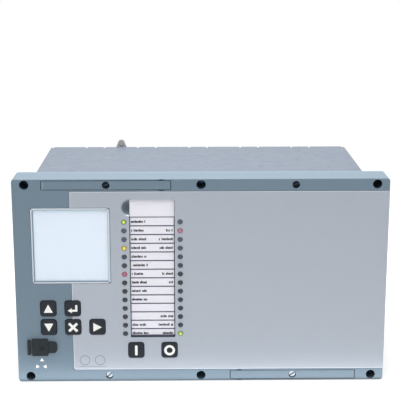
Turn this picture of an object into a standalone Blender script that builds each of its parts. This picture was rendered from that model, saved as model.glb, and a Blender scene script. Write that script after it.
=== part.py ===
"""Flush-mounting protection relay: moulded front, folded steel case, rear terminals and boards.

X runs to the right of the front, Y from the front to the rear and Z up. Heights are measured from the
underside of the front and depths from its front face. An empty named relay shifts the whole by half
its depth, so that the origin lies under the middle of the object.
"""

import math

import bmesh
import bpy
from mathutils import Matrix, Vector

MM = 0.001

# Clearances
SEAT_GAP = 0.3 * MM
KEY_GAP = 0.4 * MM
LAMP_GAP = 0.3 * MM
SCREW_GAP = 0.35 * MM

# Front housing
FRONT_WIDTH = 311.5 * MM
FRONT_HEIGHT = 177.0 * MM
FRONT_DEPTH = 28.2 * MM
FRONT_WALL = 2.6 * MM
FRONT_FACE = 3.8 * MM
FRONT_CORNER = 2.6 * MM
FRONT_EDGE = 0.7 * MM
BAND_HEIGHT = 10.6 * MM

# Silver plate, set into the front from the right edge
PLATE_FROM_LEFT = 47.5 * MM
PLATE_THICKNESS = 1.0 * MM

# Display
DISPLAY_FROM_LEFT = 15.0 * MM
DISPLAY_WIDTH = 65.2 * MM
DISPLAY_HEIGHT = 64.8 * MM
DISPLAY_MIDDLE = 31.6 * MM
BEZEL_LIP = 2.0 * MM
BEZEL_CORNER = 1.6 * MM
BEZEL_LIP_DEPTH = 0.9 * MM
BEZEL_WALL = 1.0 * MM
WINDOW_THICKNESS = 1.8 * MM
LCD_THICKNESS = 5.8 * MM
LCD_MARGIN = 2.0 * MM
LCD_CORNER = 1.0 * MM
VIEW_CORNER = 0.6 * MM

# Keys
KEY_WIDTH = 13.2 * MM
KEY_HEIGHT = 13.6 * MM
KEY_CORNER = 2.2 * MM
KEY_PROUD = 1.0 * MM
KEY_EDGE = 0.5 * MM
KEY_FLANGE = 1.1 * MM
KEY_FLANGE_THICKNESS = 1.2 * MM
KEY_TRAVEL = 0.8 * MM
KEY_PITCH_X = 20.5 * MM
KEY_PITCH_Z = 16.6 * MM
MENU_FROM_LEFT = 27.2 * MM
MENU_MIDDLE = -39.4 * MM
BREAKER_FROM_LEFT = 100.7 * MM
BREAKER_MIDDLE = -60.4 * MM
BREAKER_PITCH = 28.3 * MM

# Legend card between two columns of lamps
ROWS = 14
ROW_PITCH = 7.52 * MM
FIRST_ROW = 52.1 * MM
CARD_FROM_LEFT = 96.3 * MM
CARD_WIDTH = 37.6 * MM
CARD_THICKNESS = 0.4 * MM
CARD_DEPTH = 1.9 * MM
CARD_TOP_MARGIN = 6.9 * MM
CARD_CORNER = 0.8 * MM
LAMP_RADIUS = 2.0 * MM
LAMP_PROUD = 0.5 * MM
LAMP_FROM_CARD = 4.5 * MM
LAMP_BAR_WIDTH = 7.0 * MM
LAMP_BAR_THICKNESS = 2.4 * MM
LAMP_BAR_CORNER = 1.0 * MM
NOTCH_RADIUS = 7.4 * MM
NOTCH_DEPTH = 3.1 * MM
NOTCH_BELOW_TOP = 6.8 * MM

# Designation strips in the two bands
STRIP_FROM_SCREW = 13.8 * MM
STRIP_FROM_CENTRE = 24.9 * MM
STRIP_HEIGHT = 7.6 * MM
STRIP_THICKNESS = 1.2 * MM
STRIP_CORNER = 0.6 * MM
STRIP_FROM_EDGE = 5.2 * MM
SCOOP_RADIUS = 4.7 * MM
SCOOP_DEPTH = 2.0 * MM
SCOOP_FROM_END = 7.9 * MM

# Screws
SCREW_HEAD_FORM = 0.2 * MM
BOSS_WALL = 1.5 * MM
PANEL_SCREW_FROM_SIDE = 10.45 * MM
PANEL_SCREW_FROM_EDGE = 4.9 * MM
PANEL_HOLE_RADIUS = 3.9 * MM
PANEL_HEAD_RADIUS = 3.4 * MM
PANEL_HEAD_HEIGHT = 3.2 * MM
PANEL_SHANK_RADIUS = 1.9 * MM
PANEL_SCREW_LENGTH = 16.0 * MM
PANEL_HEAD_DEPTH = 17.0 * MM
COVER_HEAD_RADIUS = 2.85 * MM
COVER_HEAD_HEIGHT = 1.9 * MM
COVER_SHANK_RADIUS = 1.5 * MM
COVER_HEAD_DEPTH = 1.5 * MM
SLOT_WIDTH = 0.9 * MM
SLOT_DEPTH = 1.1 * MM

# Service port and its rubber cap
CAP_FROM_LEFT = 12.4 * MM
CAP_MIDDLE = -57.3 * MM
CAP_WIDTH = 13.7 * MM
CAP_HEIGHT = 14.8 * MM
CAP_PROUD = 2.0 * MM
CAP_CORNER = 0.9 * MM
CAP_GROOVE = 0.9 * MM
CAP_PLUG_DEPTH = 2.0 * MM
CAP_PLUG_CORNER = 1.0 * MM
TAB_LENGTH = 7.6 * MM
TAB_HEIGHT = 9.9 * MM
TAB_THICKNESS = 1.3 * MM
TAB_CORNER = 3.2 * MM
ANCHOR_WIDTH = 2.8 * MM
ANCHOR_HEIGHT = 13.3 * MM
ANCHOR_PEG_RADIUS = 0.9 * MM
PORT_WIDTH = 11.2 * MM
PORT_HEIGHT = 12.0 * MM
PORT_LENGTH = 15.0 * MM
PORT_WALL = 1.5 * MM
PORT_TONGUE = 3.2 * MM
PORT_CORNER = 0.8 * MM

# Front board and key mats
BOARD_THICKNESS = 1.6 * MM
BOARD_MARGIN = 6.0 * MM
MAT_THICKNESS = 1.4 * MM
MAT_BORDER = 2.0 * MM
MAT_CORNER = 1.5 * MM
DOME_RADIUS = 3.6 * MM
DOME_TIP_RADIUS = 2.5 * MM
FRONT_CHIP_DEPTH = 2.2 * MM

# Folded steel case
CASE_SIDE_INSET = 10.25 * MM
CASE_TOP_INSET = 9.5 * MM
CASE_WIDTH = FRONT_WIDTH - 2 * CASE_SIDE_INSET
CASE_HEIGHT = FRONT_HEIGHT - 2 * CASE_TOP_INSET
CASE_DEPTH = 158.0 * MM
CASE_BEND = 3.0 * MM
SHEET = 1.5 * MM
FLANGE_INSET = 1.2 * MM
MODULES = 6
RELIEF_FROM_SIDE = 3.0 * MM
TONGUE_SPACING = 19.5 * MM
TONGUE_DROP = 11.0 * MM
RELIEF_WIDTH = 2.0 * MM
RELIEF_DEPTH = 4.5 * MM
MODULE_PITCH = (CASE_WIDTH - 2 * RELIEF_FROM_SIDE + TONGUE_SPACING - RELIEF_WIDTH) / MODULES
TONGUE_WIDTH = MODULE_PITCH - TONGUE_SPACING

# Rear plate and terminal blocks
REAR_MARGIN = 2.0 * MM
REAR_CORNER = 2.0 * MM
REAR_SCREW_FROM_EDGE = 6.0 * MM
REAR_SCREW_RADIUS = 2.9 * MM
BLOCK_SPACING = 22.0 * MM
BLOCK_END_SPACE = 20.0 * MM
BLOCK_WIDTH = MODULE_PITCH - BLOCK_SPACING
BLOCK_HEIGHT = CASE_HEIGHT - 2 * BLOCK_END_SPACE
BLOCK_PROUD = 12.2 * MM
BLOCK_INSIDE = 10.0 * MM
BLOCK_EDGE = 0.8 * MM
WELLS = 7
WELL_END_SHARE = 0.56
WELL_PITCH = BLOCK_HEIGHT / (WELLS + WELL_END_SHARE)
WELL_RADIUS = 3.4 * MM
WELL_DEPTH = 3.2 * MM

# Earth terminal at the rear
EARTH_RISE = 7.0 * MM
EARTH_RADIUS = 3.4 * MM
EARTH_FOOT_WIDTH = 10.0 * MM
EARTH_SHEET = 1.5 * MM
EARTH_FOOT = 9.0 * MM
EARTH_STUD_RADIUS = 1.5 * MM
EARTH_STUD_LENGTH = 9.0 * MM
EARTH_NUT_FLATS = 5.5 * MM
EARTH_NUT_HEIGHT = 2.4 * MM
EARTH_HEAD_RADIUS = 2.3 * MM
EARTH_HEAD_HEIGHT = 0.7 * MM

# Boards in the case
BUS_MARGIN = 2.0 * MM
BUS_FROM_FLANGE = 4.0 * MM
SOCKET_WIDTH = 9.0 * MM
SOCKET_END_SPACE = 34.0 * MM
SOCKET_HEIGHT = CASE_HEIGHT - 2 * SOCKET_END_SPACE
SOCKET_DEPTH = 9.0 * MM
GUIDE_THICKNESS = 3.0 * MM
GUIDE_GROOVE = 1.6 * MM
GUIDE_FROM_FRONT = 22.0 * MM
GUIDE_FROM_BLOCKS = 8.0 * MM
BOARD_FROM_BLOCK_EDGE = 3.5 * MM
TRANSFORMER_FROM_FRONT = 78.0 * MM
TRANSFORMERS = 4
TRANSFORMER_END_SPACE = 13.0 * MM
TRANSFORMER_SPACING = 7.0 * MM
TRANSFORMER_PITCH = (CASE_HEIGHT - 2 * TRANSFORMER_END_SPACE) / TRANSFORMERS
TRANSFORMER_LENGTH = 32.0 * MM
TRANSFORMER_HEIGHT = TRANSFORMER_PITCH - TRANSFORMER_SPACING
CORE_DEPTH = 22.0 * MM
WINDING_RADIUS = 11.0 * MM
WINDING_DEPTH = 8.0 * MM
RELAY_LENGTH = 13.0 * MM
RELAY_HEIGHT = 28.0 * MM
RELAY_DEPTH = 16.0 * MM
RELAY_COLUMNS = 4
RELAY_END_SPACE = 12.8 * MM
RELAYS_FROM_MIDDLE = 30.0 * MM
SUPPLY_CORE = 40.0 * MM
SUPPLY_DEPTH = 26.0 * MM
FINS = 6
FIN_PITCH = 5.0 * MM
FIN_THICKNESS = 2.0 * MM
FIN_LENGTH = 55.0 * MM
FIN_DEPTH = 24.0 * MM
CAPACITOR_RADIUS = 9.0 * MM
CAPACITOR_DEPTH = 27.0 * MM
CAPACITOR_PITCH = 22.0 * MM
SHIELD_SIZE = 36.0 * MM
SHIELD_DEPTH = 4.0 * MM
CHIP_LENGTH = 18.0 * MM
CHIP_HEIGHT = 10.0 * MM
CHIP_DEPTH = 2.0 * MM
PARTS_FROM_FRONT = 20.0 * MM

# Places that several pieces share
LEFT = -FRONT_WIDTH / 2
RIGHT = FRONT_WIDTH / 2
MIDDLE = FRONT_HEIGHT / 2
PLATE_LEFT = LEFT + PLATE_FROM_LEFT
PLATE_LOW = BAND_HEIGHT
PLATE_HIGH = FRONT_HEIGHT - BAND_HEIGHT
DISPLAY_LEFT = LEFT + DISPLAY_FROM_LEFT
DISPLAY_LOW = MIDDLE + DISPLAY_MIDDLE - DISPLAY_HEIGHT / 2
CARD_LEFT = LEFT + CARD_FROM_LEFT
CARD_RIGHT = CARD_LEFT + CARD_WIDTH
CARD_TOP = PLATE_HIGH - CARD_TOP_MARGIN
CARD_LOW = MIDDLE + FIRST_ROW - ROW_PITCH * (ROWS - 0.5) + SEAT_GAP
LAMP_COLUMNS = {"left": CARD_LEFT - LAMP_FROM_CARD, "right": CARD_RIGHT + LAMP_FROM_CARD}
KEY_BACK = FRONT_FACE + SEAT_GAP + KEY_FLANGE_THICKNESS
MAT_FRONT = KEY_BACK + KEY_TRAVEL + SEAT_GAP
WINDOW_FRONT = BEZEL_LIP_DEPTH + SEAT_GAP
LCD_FRONT = FRONT_FACE + SEAT_GAP
LCD_BACK = LCD_FRONT + LCD_THICKNESS
BOARD_FRONT = LCD_BACK + SEAT_GAP
BOARD_BACK = BOARD_FRONT + BOARD_THICKNESS
FLANGE_FRONT = FRONT_DEPTH + SEAT_GAP
FLANGE_BACK = FLANGE_FRONT + SHEET
CASE_LOW = CASE_TOP_INSET
CASE_TOP = CASE_LOW + CASE_HEIGHT
CASE_BACK = FLANGE_BACK + CASE_DEPTH
REAR_FRONT = CASE_BACK + SEAT_GAP
REAR_BACK = REAR_FRONT + SHEET
BLOCK_BACK = REAR_BACK + BLOCK_PROUD
BLOCK_FRONT = CASE_BACK - BLOCK_INSIDE
PANEL_SCREW_X = RIGHT - PANEL_SCREW_FROM_SIDE
STRIP_LENGTH = PANEL_SCREW_X - STRIP_FROM_SCREW - STRIP_FROM_CENTRE
COVER_SCREW_X = STRIP_FROM_CENTRE + STRIP_LENGTH / 2
CAP_LEFT = LEFT + CAP_FROM_LEFT
CAP_Z = MIDDLE + CAP_MIDDLE
CAP_X = CAP_LEFT + CAP_WIDTH / 2
HINGE_X = CAP_LEFT - CAP_GROOVE / 2
HINGE_Y = -CAP_PROUD
PANEL_SEAT = PANEL_HEAD_DEPTH + PANEL_HEAD_HEIGHT + SEAT_GAP
COVER_SEAT = COVER_HEAD_DEPTH + COVER_HEAD_HEIGHT + SEAT_GAP
MODULE_X = [(slot - (MODULES - 1) / 2) * MODULE_PITCH for slot in range(MODULES)]
EARTH_X = MODULE_X[1]
SCREW_ROWS = {"lower": PANEL_SCREW_FROM_EDGE, "upper": FRONT_HEIGHT - PANEL_SCREW_FROM_EDGE}
STRIP_ROWS = {"lower": STRIP_FROM_EDGE, "upper": FRONT_HEIGHT - STRIP_FROM_EDGE}
HALF_DEPTH = (BLOCK_BACK - CAP_PROUD) / 2
MODULE_BOARD_START = FLANGE_BACK + BUS_FROM_FLANGE + BOARD_THICKNESS + SOCKET_DEPTH + SEAT_GAP
MODULE_BOARD_END = BLOCK_FRONT - SEAT_GAP
RELAY_PITCH = (MODULE_BOARD_END - MODULE_BOARD_START - RELAY_END_SPACE) / (RELAY_COLUMNS + 1)

FRONT_CHIPS = [
    (LEFT + FRONT_WIDTH * 0.32, FRONT_HEIGHT * 0.55, 24.0 * MM),
    (LEFT + FRONT_WIDTH * 0.52, FRONT_HEIGHT * 0.35, 18.0 * MM),
    (LEFT + FRONT_WIDTH * 0.72, FRONT_HEIGHT * 0.6, 30.0 * MM),
    (LEFT + FRONT_WIDTH * 0.86, FRONT_HEIGHT * 0.35, 14.0 * MM),
]

KEYS = {
    "key_up": (LEFT + MENU_FROM_LEFT, MIDDLE + MENU_MIDDLE + KEY_PITCH_Z),
    "key_enter": (LEFT + MENU_FROM_LEFT + KEY_PITCH_X, MIDDLE + MENU_MIDDLE + KEY_PITCH_Z),
    "key_down": (LEFT + MENU_FROM_LEFT, MIDDLE + MENU_MIDDLE),
    "key_cancel": (LEFT + MENU_FROM_LEFT + KEY_PITCH_X, MIDDLE + MENU_MIDDLE),
    "key_right": (LEFT + MENU_FROM_LEFT + 2 * KEY_PITCH_X, MIDDLE + MENU_MIDDLE),
    "key_close": (LEFT + BREAKER_FROM_LEFT, MIDDLE + BREAKER_MIDDLE),
    "key_open": (LEFT + BREAKER_FROM_LEFT + BREAKER_PITCH, MIDDLE + BREAKER_MIDDLE),
}


def clear_scene():
    for found in list(bpy.data.objects):
        bpy.data.objects.remove(found)


def new_collection(name):
    made = bpy.data.collections.new(name)
    bpy.context.scene.collection.children.link(made)
    return made


clear_scene()
PARTS = new_collection("protection_relay")
CUTTERS = new_collection("cutters")
CUTTERS.hide_render = True
RELAY = bpy.data.objects.new("relay", None)
RELAY.location.y = -HALF_DEPTH
PARTS.objects.link(RELAY)


def material(name, colour, roughness, metallic=0.0):
    """A Principled material, made once and found again by its name."""
    found = bpy.data.materials.get(name)
    if found:
        return found
    made = bpy.data.materials.new(name)
    made.use_nodes = True
    shader = made.node_tree.nodes["Principled BSDF"]
    shader.inputs["Base Color"].default_value = (*colour, 1.0)
    shader.inputs["Roughness"].default_value = roughness
    shader.inputs["Metallic"].default_value = metallic
    return made


def moulded_grey():
    return material("moulded_grey", (0.16, 0.22, 0.27), 0.5)


def silver():
    return material("silver_plate", (0.45, 0.48, 0.52), 0.4, 0.6)


def rubber():
    return material("black_rubber", (0.03, 0.035, 0.04), 0.7)


def zinc():
    return material("zinc_sheet", (0.42, 0.46, 0.5), 0.4, 0.9)


def black_steel():
    return material("black_steel", (0.02, 0.025, 0.03), 0.4, 0.8)


def green_board():
    return material("green_board", (0.02, 0.16, 0.07), 0.5)


def add_box(shape, low, high, radius=0.0, axis=1, segments=4):
    """Adds a block between two corners, with its edges along one axis rounded."""
    low, high = Vector(low), Vector(high)
    place = Matrix.Translation((low + high) / 2) @ Matrix.Diagonal((*(high - low), 1.0))
    corners = bmesh.ops.create_cube(shape, size=1.0, matrix=place)["verts"]
    if radius > 0:
        edges = {edge for corner in corners for edge in corner.link_edges}
        along = [edge for edge in edges if abs((edge.verts[0].co - edge.verts[1].co)[axis]) > 1e-6]
        bmesh.ops.bevel(shape, geom=along, offset=radius, segments=segments, profile=0.5, affect="EDGES")


def add_rod(shape, centre, radius, start, end, axis=1, sides=16, tip=None):
    """Adds a rod along one axis, between two places on it. The centre gives the other two."""
    others = [index for index in range(3) if index != axis]
    middle = Vector((0, 0, 0))
    middle[axis] = (start + end) / 2
    middle[others[0]], middle[others[1]] = centre
    turn = {
        0: Matrix.Rotation(math.pi / 2, 4, "Y"),
        1: Matrix.Rotation(-math.pi / 2, 4, "X"),
        2: Matrix.Identity(4),
    }[axis]
    bmesh.ops.create_cone(
        shape,
        cap_ends=True,
        segments=sides,
        radius1=radius,
        radius2=radius if tip is None else tip,
        depth=end - start,
        matrix=Matrix.Translation(middle) @ turn,
    )


def add_dish(shape, x, z, radius, depth):
    """Adds a ball that leaves a round dish of this radius and depth in the front face."""
    ball = (radius**2 + depth**2) / (2 * depth)
    place = Matrix.Translation((x, depth - ball, z)) @ Matrix.Rotation(math.pi / 2, 4, "X")
    bmesh.ops.create_uvsphere(shape, u_segments=20, v_segments=14, radius=ball, matrix=place)


def finish(name, shape, collection, paint=None, origin=(0, 0, 0)):
    """Makes an object of a shape given in the front's own coordinates, with its origin at a point."""
    bmesh.ops.translate(shape, verts=shape.verts, vec=-Vector(origin))
    bmesh.ops.recalc_face_normals(shape, faces=shape.faces)
    mesh = bpy.data.meshes.new(name)
    shape.to_mesh(mesh)
    shape.free()
    if paint:
        mesh.materials.append(paint)
    made = bpy.data.objects.new(name, mesh)
    made.location = origin
    made.parent = RELAY
    collection.objects.link(made)
    return made


def piece(name, shape, paint, origin=(0, 0, 0)):
    made = finish(name, shape, PARTS, paint, origin)
    made.data.shade_smooth()
    made.data.set_sharp_from_angle(angle=math.radians(35))
    return made


def helper(name, shape):
    made = finish(name, shape, CUTTERS)
    made.hide_render = True
    made.display_type = "WIRE"
    return made


def join(target, name, shape, operation="DIFFERENCE"):
    """Cuts a shape from a piece, or unites the two."""
    step = target.modifiers.new(name, "BOOLEAN")
    step.operation = operation
    step.object = helper(f"{target.name}_{name}", shape)


def cut(target, name, shape):
    join(target, name, shape)


def unite(target, name, shape):
    join(target, name, shape, "UNION")


def even_triangles(target):
    """Divides the wide faces between many holes into well-shaped triangles."""
    step = target.modifiers.new("even_triangles", "TRIANGULATE")
    step.ngon_method = "BEAUTY"


def key_openings(low, high):
    shape = bmesh.new()
    for x, z in KEYS.values():
        half_width = KEY_WIDTH / 2 + KEY_GAP
        half_height = KEY_HEIGHT / 2 + KEY_GAP
        corner = KEY_CORNER + KEY_GAP
        low_corner = (x - half_width, low, z - half_height)
        add_box(shape, low_corner, (x + half_width, high, z + half_height), corner, segments=3)
    return shape


def lamp_heights():
    return [MIDDLE + FIRST_ROW - row * ROW_PITCH for row in range(ROWS)]


def lamp_openings(low, high):
    """A round hole for each lamp, through the silver plate."""
    shape = bmesh.new()
    for x in LAMP_COLUMNS.values():
        for z in lamp_heights():
            add_rod(shape, (x, z), LAMP_RADIUS + LAMP_GAP, low, high, sides=10)
    return shape


def lamp_slots(low, high):
    """A slot behind each column of lamp holes, through the moulded front."""
    shape = bmesh.new()
    reach = LAMP_RADIUS + LAMP_GAP
    heights = lamp_heights()
    for x in LAMP_COLUMNS.values():
        add_box(shape, (x - reach, low, heights[-1] - reach), (x + reach, high, heights[0] + reach))
    return shape


def display_opening(low, high):
    shape = bmesh.new()
    add_box(
        shape,
        (DISPLAY_LEFT - SEAT_GAP, low, DISPLAY_LOW - SEAT_GAP),
        (DISPLAY_LEFT + DISPLAY_WIDTH + SEAT_GAP, high, DISPLAY_LOW + DISPLAY_HEIGHT + SEAT_GAP),
        BEZEL_CORNER + SEAT_GAP,
        segments=3,
    )
    return shape


def card_opening(low, high):
    shape = bmesh.new()
    add_box(shape, (CARD_LEFT, low, CARD_LOW), (CARD_RIGHT, high, CARD_TOP), CARD_CORNER, segments=2)
    return shape


def card_notch():
    shape = bmesh.new()
    add_dish(shape, CARD_LEFT, CARD_TOP - NOTCH_BELOW_TOP, NOTCH_RADIUS, NOTCH_DEPTH)
    return shape


def strip_span(side):
    """The ends of a strip along X, about its screw."""
    middle = COVER_SCREW_X if side == "lower" else -COVER_SCREW_X
    return middle - STRIP_LENGTH / 2, middle + STRIP_LENGTH / 2


def scoop_x(side):
    start, end = strip_span(side)
    return start + SCOOP_FROM_END if side == "lower" else end - SCOOP_FROM_END


def cover_screw_places():
    return [(x, z) for z in STRIP_ROWS.values() for x in (-COVER_SCREW_X, COVER_SCREW_X)]


def panel_screw_places():
    return [(x, z) for z in SCREW_ROWS.values() for x in (-PANEL_SCREW_X, 0.0, PANEL_SCREW_X)]


def screw_bosses():
    """The pillars behind the bands that the ten screws pass through, grown from the outer wall."""
    shape = bmesh.new()
    places = [(x, z, PANEL_HOLE_RADIUS + BOSS_WALL) for x, z in panel_screw_places()]
    places += [(x, z, COVER_HEAD_RADIUS + SCREW_GAP + BOSS_WALL) for x, z in cover_screw_places()]
    for x, z, reach in places:
        low = FRONT_WALL / 2 if z < MIDDLE else z - reach
        high = z + reach if z < MIDDLE else FRONT_HEIGHT - FRONT_WALL / 2
        add_box(shape, (x - reach, FRONT_FACE / 2, low), (x + reach, FRONT_DEPTH, high), reach / 3, segments=3)
    return shape


def head_bores():
    """The wide front parts of the ten screw holes, down to the seats of the heads."""
    shape = bmesh.new()
    for x, z in panel_screw_places():
        add_rod(shape, (x, z), PANEL_HOLE_RADIUS, -SHEET, PANEL_SEAT, sides=20)
    for x, z in cover_screw_places():
        add_rod(shape, (x, z), COVER_HEAD_RADIUS + SCREW_GAP, -SHEET, COVER_SEAT, sides=16)
    return shape


def shank_bores(panel_start, cover_start):
    """The narrow rear parts of the ten screw holes, through the bosses and the flange."""
    shape = bmesh.new()
    back = FLANGE_BACK + SHEET
    for x, z in panel_screw_places():
        add_rod(shape, (x, z), PANEL_SHANK_RADIUS + SCREW_GAP, panel_start, back, sides=12)
    for x, z in cover_screw_places():
        add_rod(shape, (x, z), COVER_SHANK_RADIUS + SCREW_GAP, cover_start, back, sides=12)
    return shape


def make_fascia():
    """The moulded front: a shell open at the rear, with bosses, openings, recesses and dishes."""
    shape = bmesh.new()
    add_box(shape, (LEFT, 0, 0), (RIGHT, FRONT_DEPTH, FRONT_HEIGHT), FRONT_CORNER, segments=3)
    rim = [edge for edge in shape.edges if all(abs(corner.co.y) < 1e-6 for corner in edge.verts)]
    bmesh.ops.bevel(shape, geom=rim, offset=FRONT_EDGE, segments=2, profile=0.5, affect="EDGES")
    fascia = piece("fascia_frame", shape, moulded_grey())

    hollow = bmesh.new()
    add_box(
        hollow,
        (LEFT + FRONT_WALL, FRONT_FACE, FRONT_WALL),
        (RIGHT - FRONT_WALL, FRONT_DEPTH + SHEET, FRONT_HEIGHT - FRONT_WALL),
        FRONT_CORNER / 2,
        segments=2,
    )
    cut(fascia, "hollow", hollow)
    unite(fascia, "bosses", screw_bosses())
    cut(fascia, "head_bores", head_bores())
    cut(fascia, "shank_bores", shank_bores(PANEL_SEAT - SEAT_GAP, COVER_SEAT - SEAT_GAP))

    seat = bmesh.new()
    add_box(
        seat,
        (PLATE_LEFT - SEAT_GAP, -SHEET, PLATE_LOW - SEAT_GAP),
        (RIGHT + SHEET, PLATE_THICKNESS + SEAT_GAP, PLATE_HIGH + SEAT_GAP),
    )
    cut(fascia, "plate_seat", seat)
    cut(fascia, "display", display_opening(-SHEET, FRONT_FACE + SHEET))
    cut(fascia, "keys", key_openings(-SHEET, FRONT_FACE + SHEET))
    cut(fascia, "lamps", lamp_slots(-SHEET, FRONT_FACE + SHEET))
    cut(fascia, "card", card_opening(-SHEET, CARD_DEPTH + CARD_THICKNESS + SEAT_GAP))
    cut(fascia, "notch", card_notch())

    strips = bmesh.new()
    for side, z in STRIP_ROWS.items():
        start, end = strip_span(side)
        half = STRIP_HEIGHT / 2 + SEAT_GAP
        low = (start - SEAT_GAP, -SHEET, z - half)
        high = (end + SEAT_GAP, STRIP_THICKNESS + SEAT_GAP, z + half)
        add_box(strips, low, high, STRIP_CORNER + SEAT_GAP, segments=2)
    cut(fascia, "strips", strips)
    scoops = bmesh.new()
    for side, z in STRIP_ROWS.items():
        add_dish(scoops, scoop_x(side), z, SCOOP_RADIUS, SCOOP_DEPTH)
    cut(fascia, "scoops", scoops)

    port = bmesh.new()
    half_width = PORT_WIDTH / 2 + SEAT_GAP
    half_height = PORT_HEIGHT / 2 + SEAT_GAP
    low = (CAP_X - half_width, -SHEET, CAP_Z - half_height)
    high = (CAP_X + half_width, FRONT_FACE + SHEET, CAP_Z + half_height)
    add_box(port, low, high, PORT_CORNER, segments=2)
    cut(fascia, "port", port)
    cut(fascia, "pegs", anchor_pegs(ANCHOR_PEG_RADIUS + SEAT_GAP, -SHEET, FRONT_FACE + SHEET))
    even_triangles(fascia)


def make_front_plate():
    """The silver plate, opened for the display, the keys, the lamps and the legend card."""
    shape = bmesh.new()
    add_box(shape, (PLATE_LEFT, 0, PLATE_LOW), (RIGHT, PLATE_THICKNESS, PLATE_HIGH))
    plate = piece("front_plate", shape, silver())
    cut(plate, "display", display_opening(-SHEET, FRONT_FACE))
    cut(plate, "keys", key_openings(-SHEET, FRONT_FACE))
    cut(plate, "lamps", lamp_openings(-SHEET, FRONT_FACE))
    cut(plate, "card", card_opening(-SHEET, FRONT_FACE))
    cut(plate, "notch", card_notch())


def make_display():
    """The bezel with its front lip, the window behind the lip and the display behind both."""
    right = DISPLAY_LEFT + DISPLAY_WIDTH
    top = DISPLAY_LOW + DISPLAY_HEIGHT
    shape = bmesh.new()
    add_box(shape, (DISPLAY_LEFT, 0, DISPLAY_LOW), (right, FRONT_FACE, top), BEZEL_CORNER, segments=3)
    bezel = piece("display_bezel", shape, moulded_grey())
    view = bmesh.new()
    add_box(
        view,
        (DISPLAY_LEFT + BEZEL_LIP, -SHEET, DISPLAY_LOW + BEZEL_LIP),
        (right - BEZEL_LIP, FRONT_FACE + SHEET, top - BEZEL_LIP),
        VIEW_CORNER,
        segments=2,
    )
    cut(bezel, "view", view)
    rebate = bmesh.new()
    add_box(
        rebate,
        (DISPLAY_LEFT + BEZEL_WALL, BEZEL_LIP_DEPTH, DISPLAY_LOW + BEZEL_WALL),
        (right - BEZEL_WALL, FRONT_FACE + SHEET, top - BEZEL_WALL),
    )
    cut(bezel, "rebate", rebate)

    inset = BEZEL_WALL + SEAT_GAP
    shape = bmesh.new()
    add_box(
        shape,
        (DISPLAY_LEFT + inset, WINDOW_FRONT, DISPLAY_LOW + inset),
        (right - inset, WINDOW_FRONT + WINDOW_THICKNESS, top - inset),
    )
    piece("display_window", shape, material("pale_window", (0.77, 0.85, 0.95), 0.15))

    shape = bmesh.new()
    add_box(
        shape,
        (DISPLAY_LEFT - LCD_MARGIN, LCD_FRONT, DISPLAY_LOW - LCD_MARGIN),
        (right + LCD_MARGIN, LCD_BACK, top + LCD_MARGIN),
        LCD_CORNER,
        segments=2,
    )
    piece("lcd_module", shape, material("lcd_frame", (0.5, 0.5, 0.5), 0.4, 0.8))


def key_mesh():
    """A cap with a flange behind it: the flange's face is inset and drawn forward into the cap."""
    shape = bmesh.new()
    reach = KEY_GAP + KEY_FLANGE
    half_width = KEY_WIDTH / 2 + reach
    half_height = KEY_HEIGHT / 2 + reach
    front = FRONT_FACE + SEAT_GAP
    corner = KEY_CORNER + reach
    add_box(shape, (-half_width, front, -half_height), (half_width, KEY_BACK, half_height), corner, segments=3)
    face = min(shape.faces, key=lambda found: found.calc_center_median().y)
    bmesh.ops.inset_region(shape, faces=[face], thickness=reach, use_even_offset=True)
    cap = bmesh.ops.extrude_discrete_faces(shape, faces=[face])["faces"][0]
    bmesh.ops.translate(shape, verts=cap.verts, vec=(0, -KEY_PROUD - front, 0))
    rim = list(cap.edges)
    bmesh.ops.bevel(shape, geom=rim, offset=KEY_EDGE, segments=2, profile=0.5, affect="EDGES")
    bmesh.ops.recalc_face_normals(shape, faces=shape.faces)
    mesh = bpy.data.meshes.new("key")
    shape.to_mesh(mesh)
    shape.free()
    mesh.materials.append(material("dark_key", (0.035, 0.045, 0.055), 0.45))
    mesh.shade_smooth()
    mesh.set_sharp_from_angle(angle=math.radians(35))
    return mesh


def place_copies(mesh, places):
    """One object for each named place, all of the same mesh. A place may hold a turn about Y."""
    for name, (x, y, z, turn) in places.items():
        made = bpy.data.objects.new(name, mesh)
        made.location = (x, y, z)
        made.rotation_euler.y = turn
        made.parent = RELAY
        PARTS.objects.link(made)


def make_keys():
    place_copies(key_mesh(), {name: (x, 0, z, 0) for name, (x, z) in KEYS.items()})


def make_mat(name, keys):
    """A rubber mat against the board, with a dome behind each key."""
    xs = [KEYS[key][0] for key in keys]
    zs = [KEYS[key][1] for key in keys]
    reach_x = KEY_WIDTH / 2 + MAT_BORDER
    reach_z = KEY_HEIGHT / 2 + MAT_BORDER
    back = BOARD_FRONT - SEAT_GAP
    sheet = back - MAT_THICKNESS
    shape = bmesh.new()
    low = (min(xs) - reach_x, sheet, min(zs) - reach_z)
    high = (max(xs) + reach_x, back, max(zs) + reach_z)
    add_box(shape, low, high, MAT_CORNER, segments=2)
    mat = piece(name, shape, material("grey_silicone", (0.3, 0.32, 0.33), 0.6))
    domes = bmesh.new()
    for key in keys:
        x, z = KEYS[key]
        add_rod(domes, (x, z), DOME_TIP_RADIUS, MAT_FRONT, sheet + MAT_THICKNESS / 2, sides=12, tip=DOME_RADIUS)
    unite(mat, "domes", domes)


def make_legend_card():
    shape = bmesh.new()
    add_box(
        shape,
        (CARD_LEFT + SEAT_GAP, CARD_DEPTH, CARD_LOW + SEAT_GAP),
        (CARD_RIGHT - SEAT_GAP, CARD_DEPTH + CARD_THICKNESS, CARD_TOP - SEAT_GAP),
        CARD_CORNER,
        segments=2,
    )
    piece("legend_card", shape, material("paper", (0.78, 0.79, 0.88), 0.8))


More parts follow.
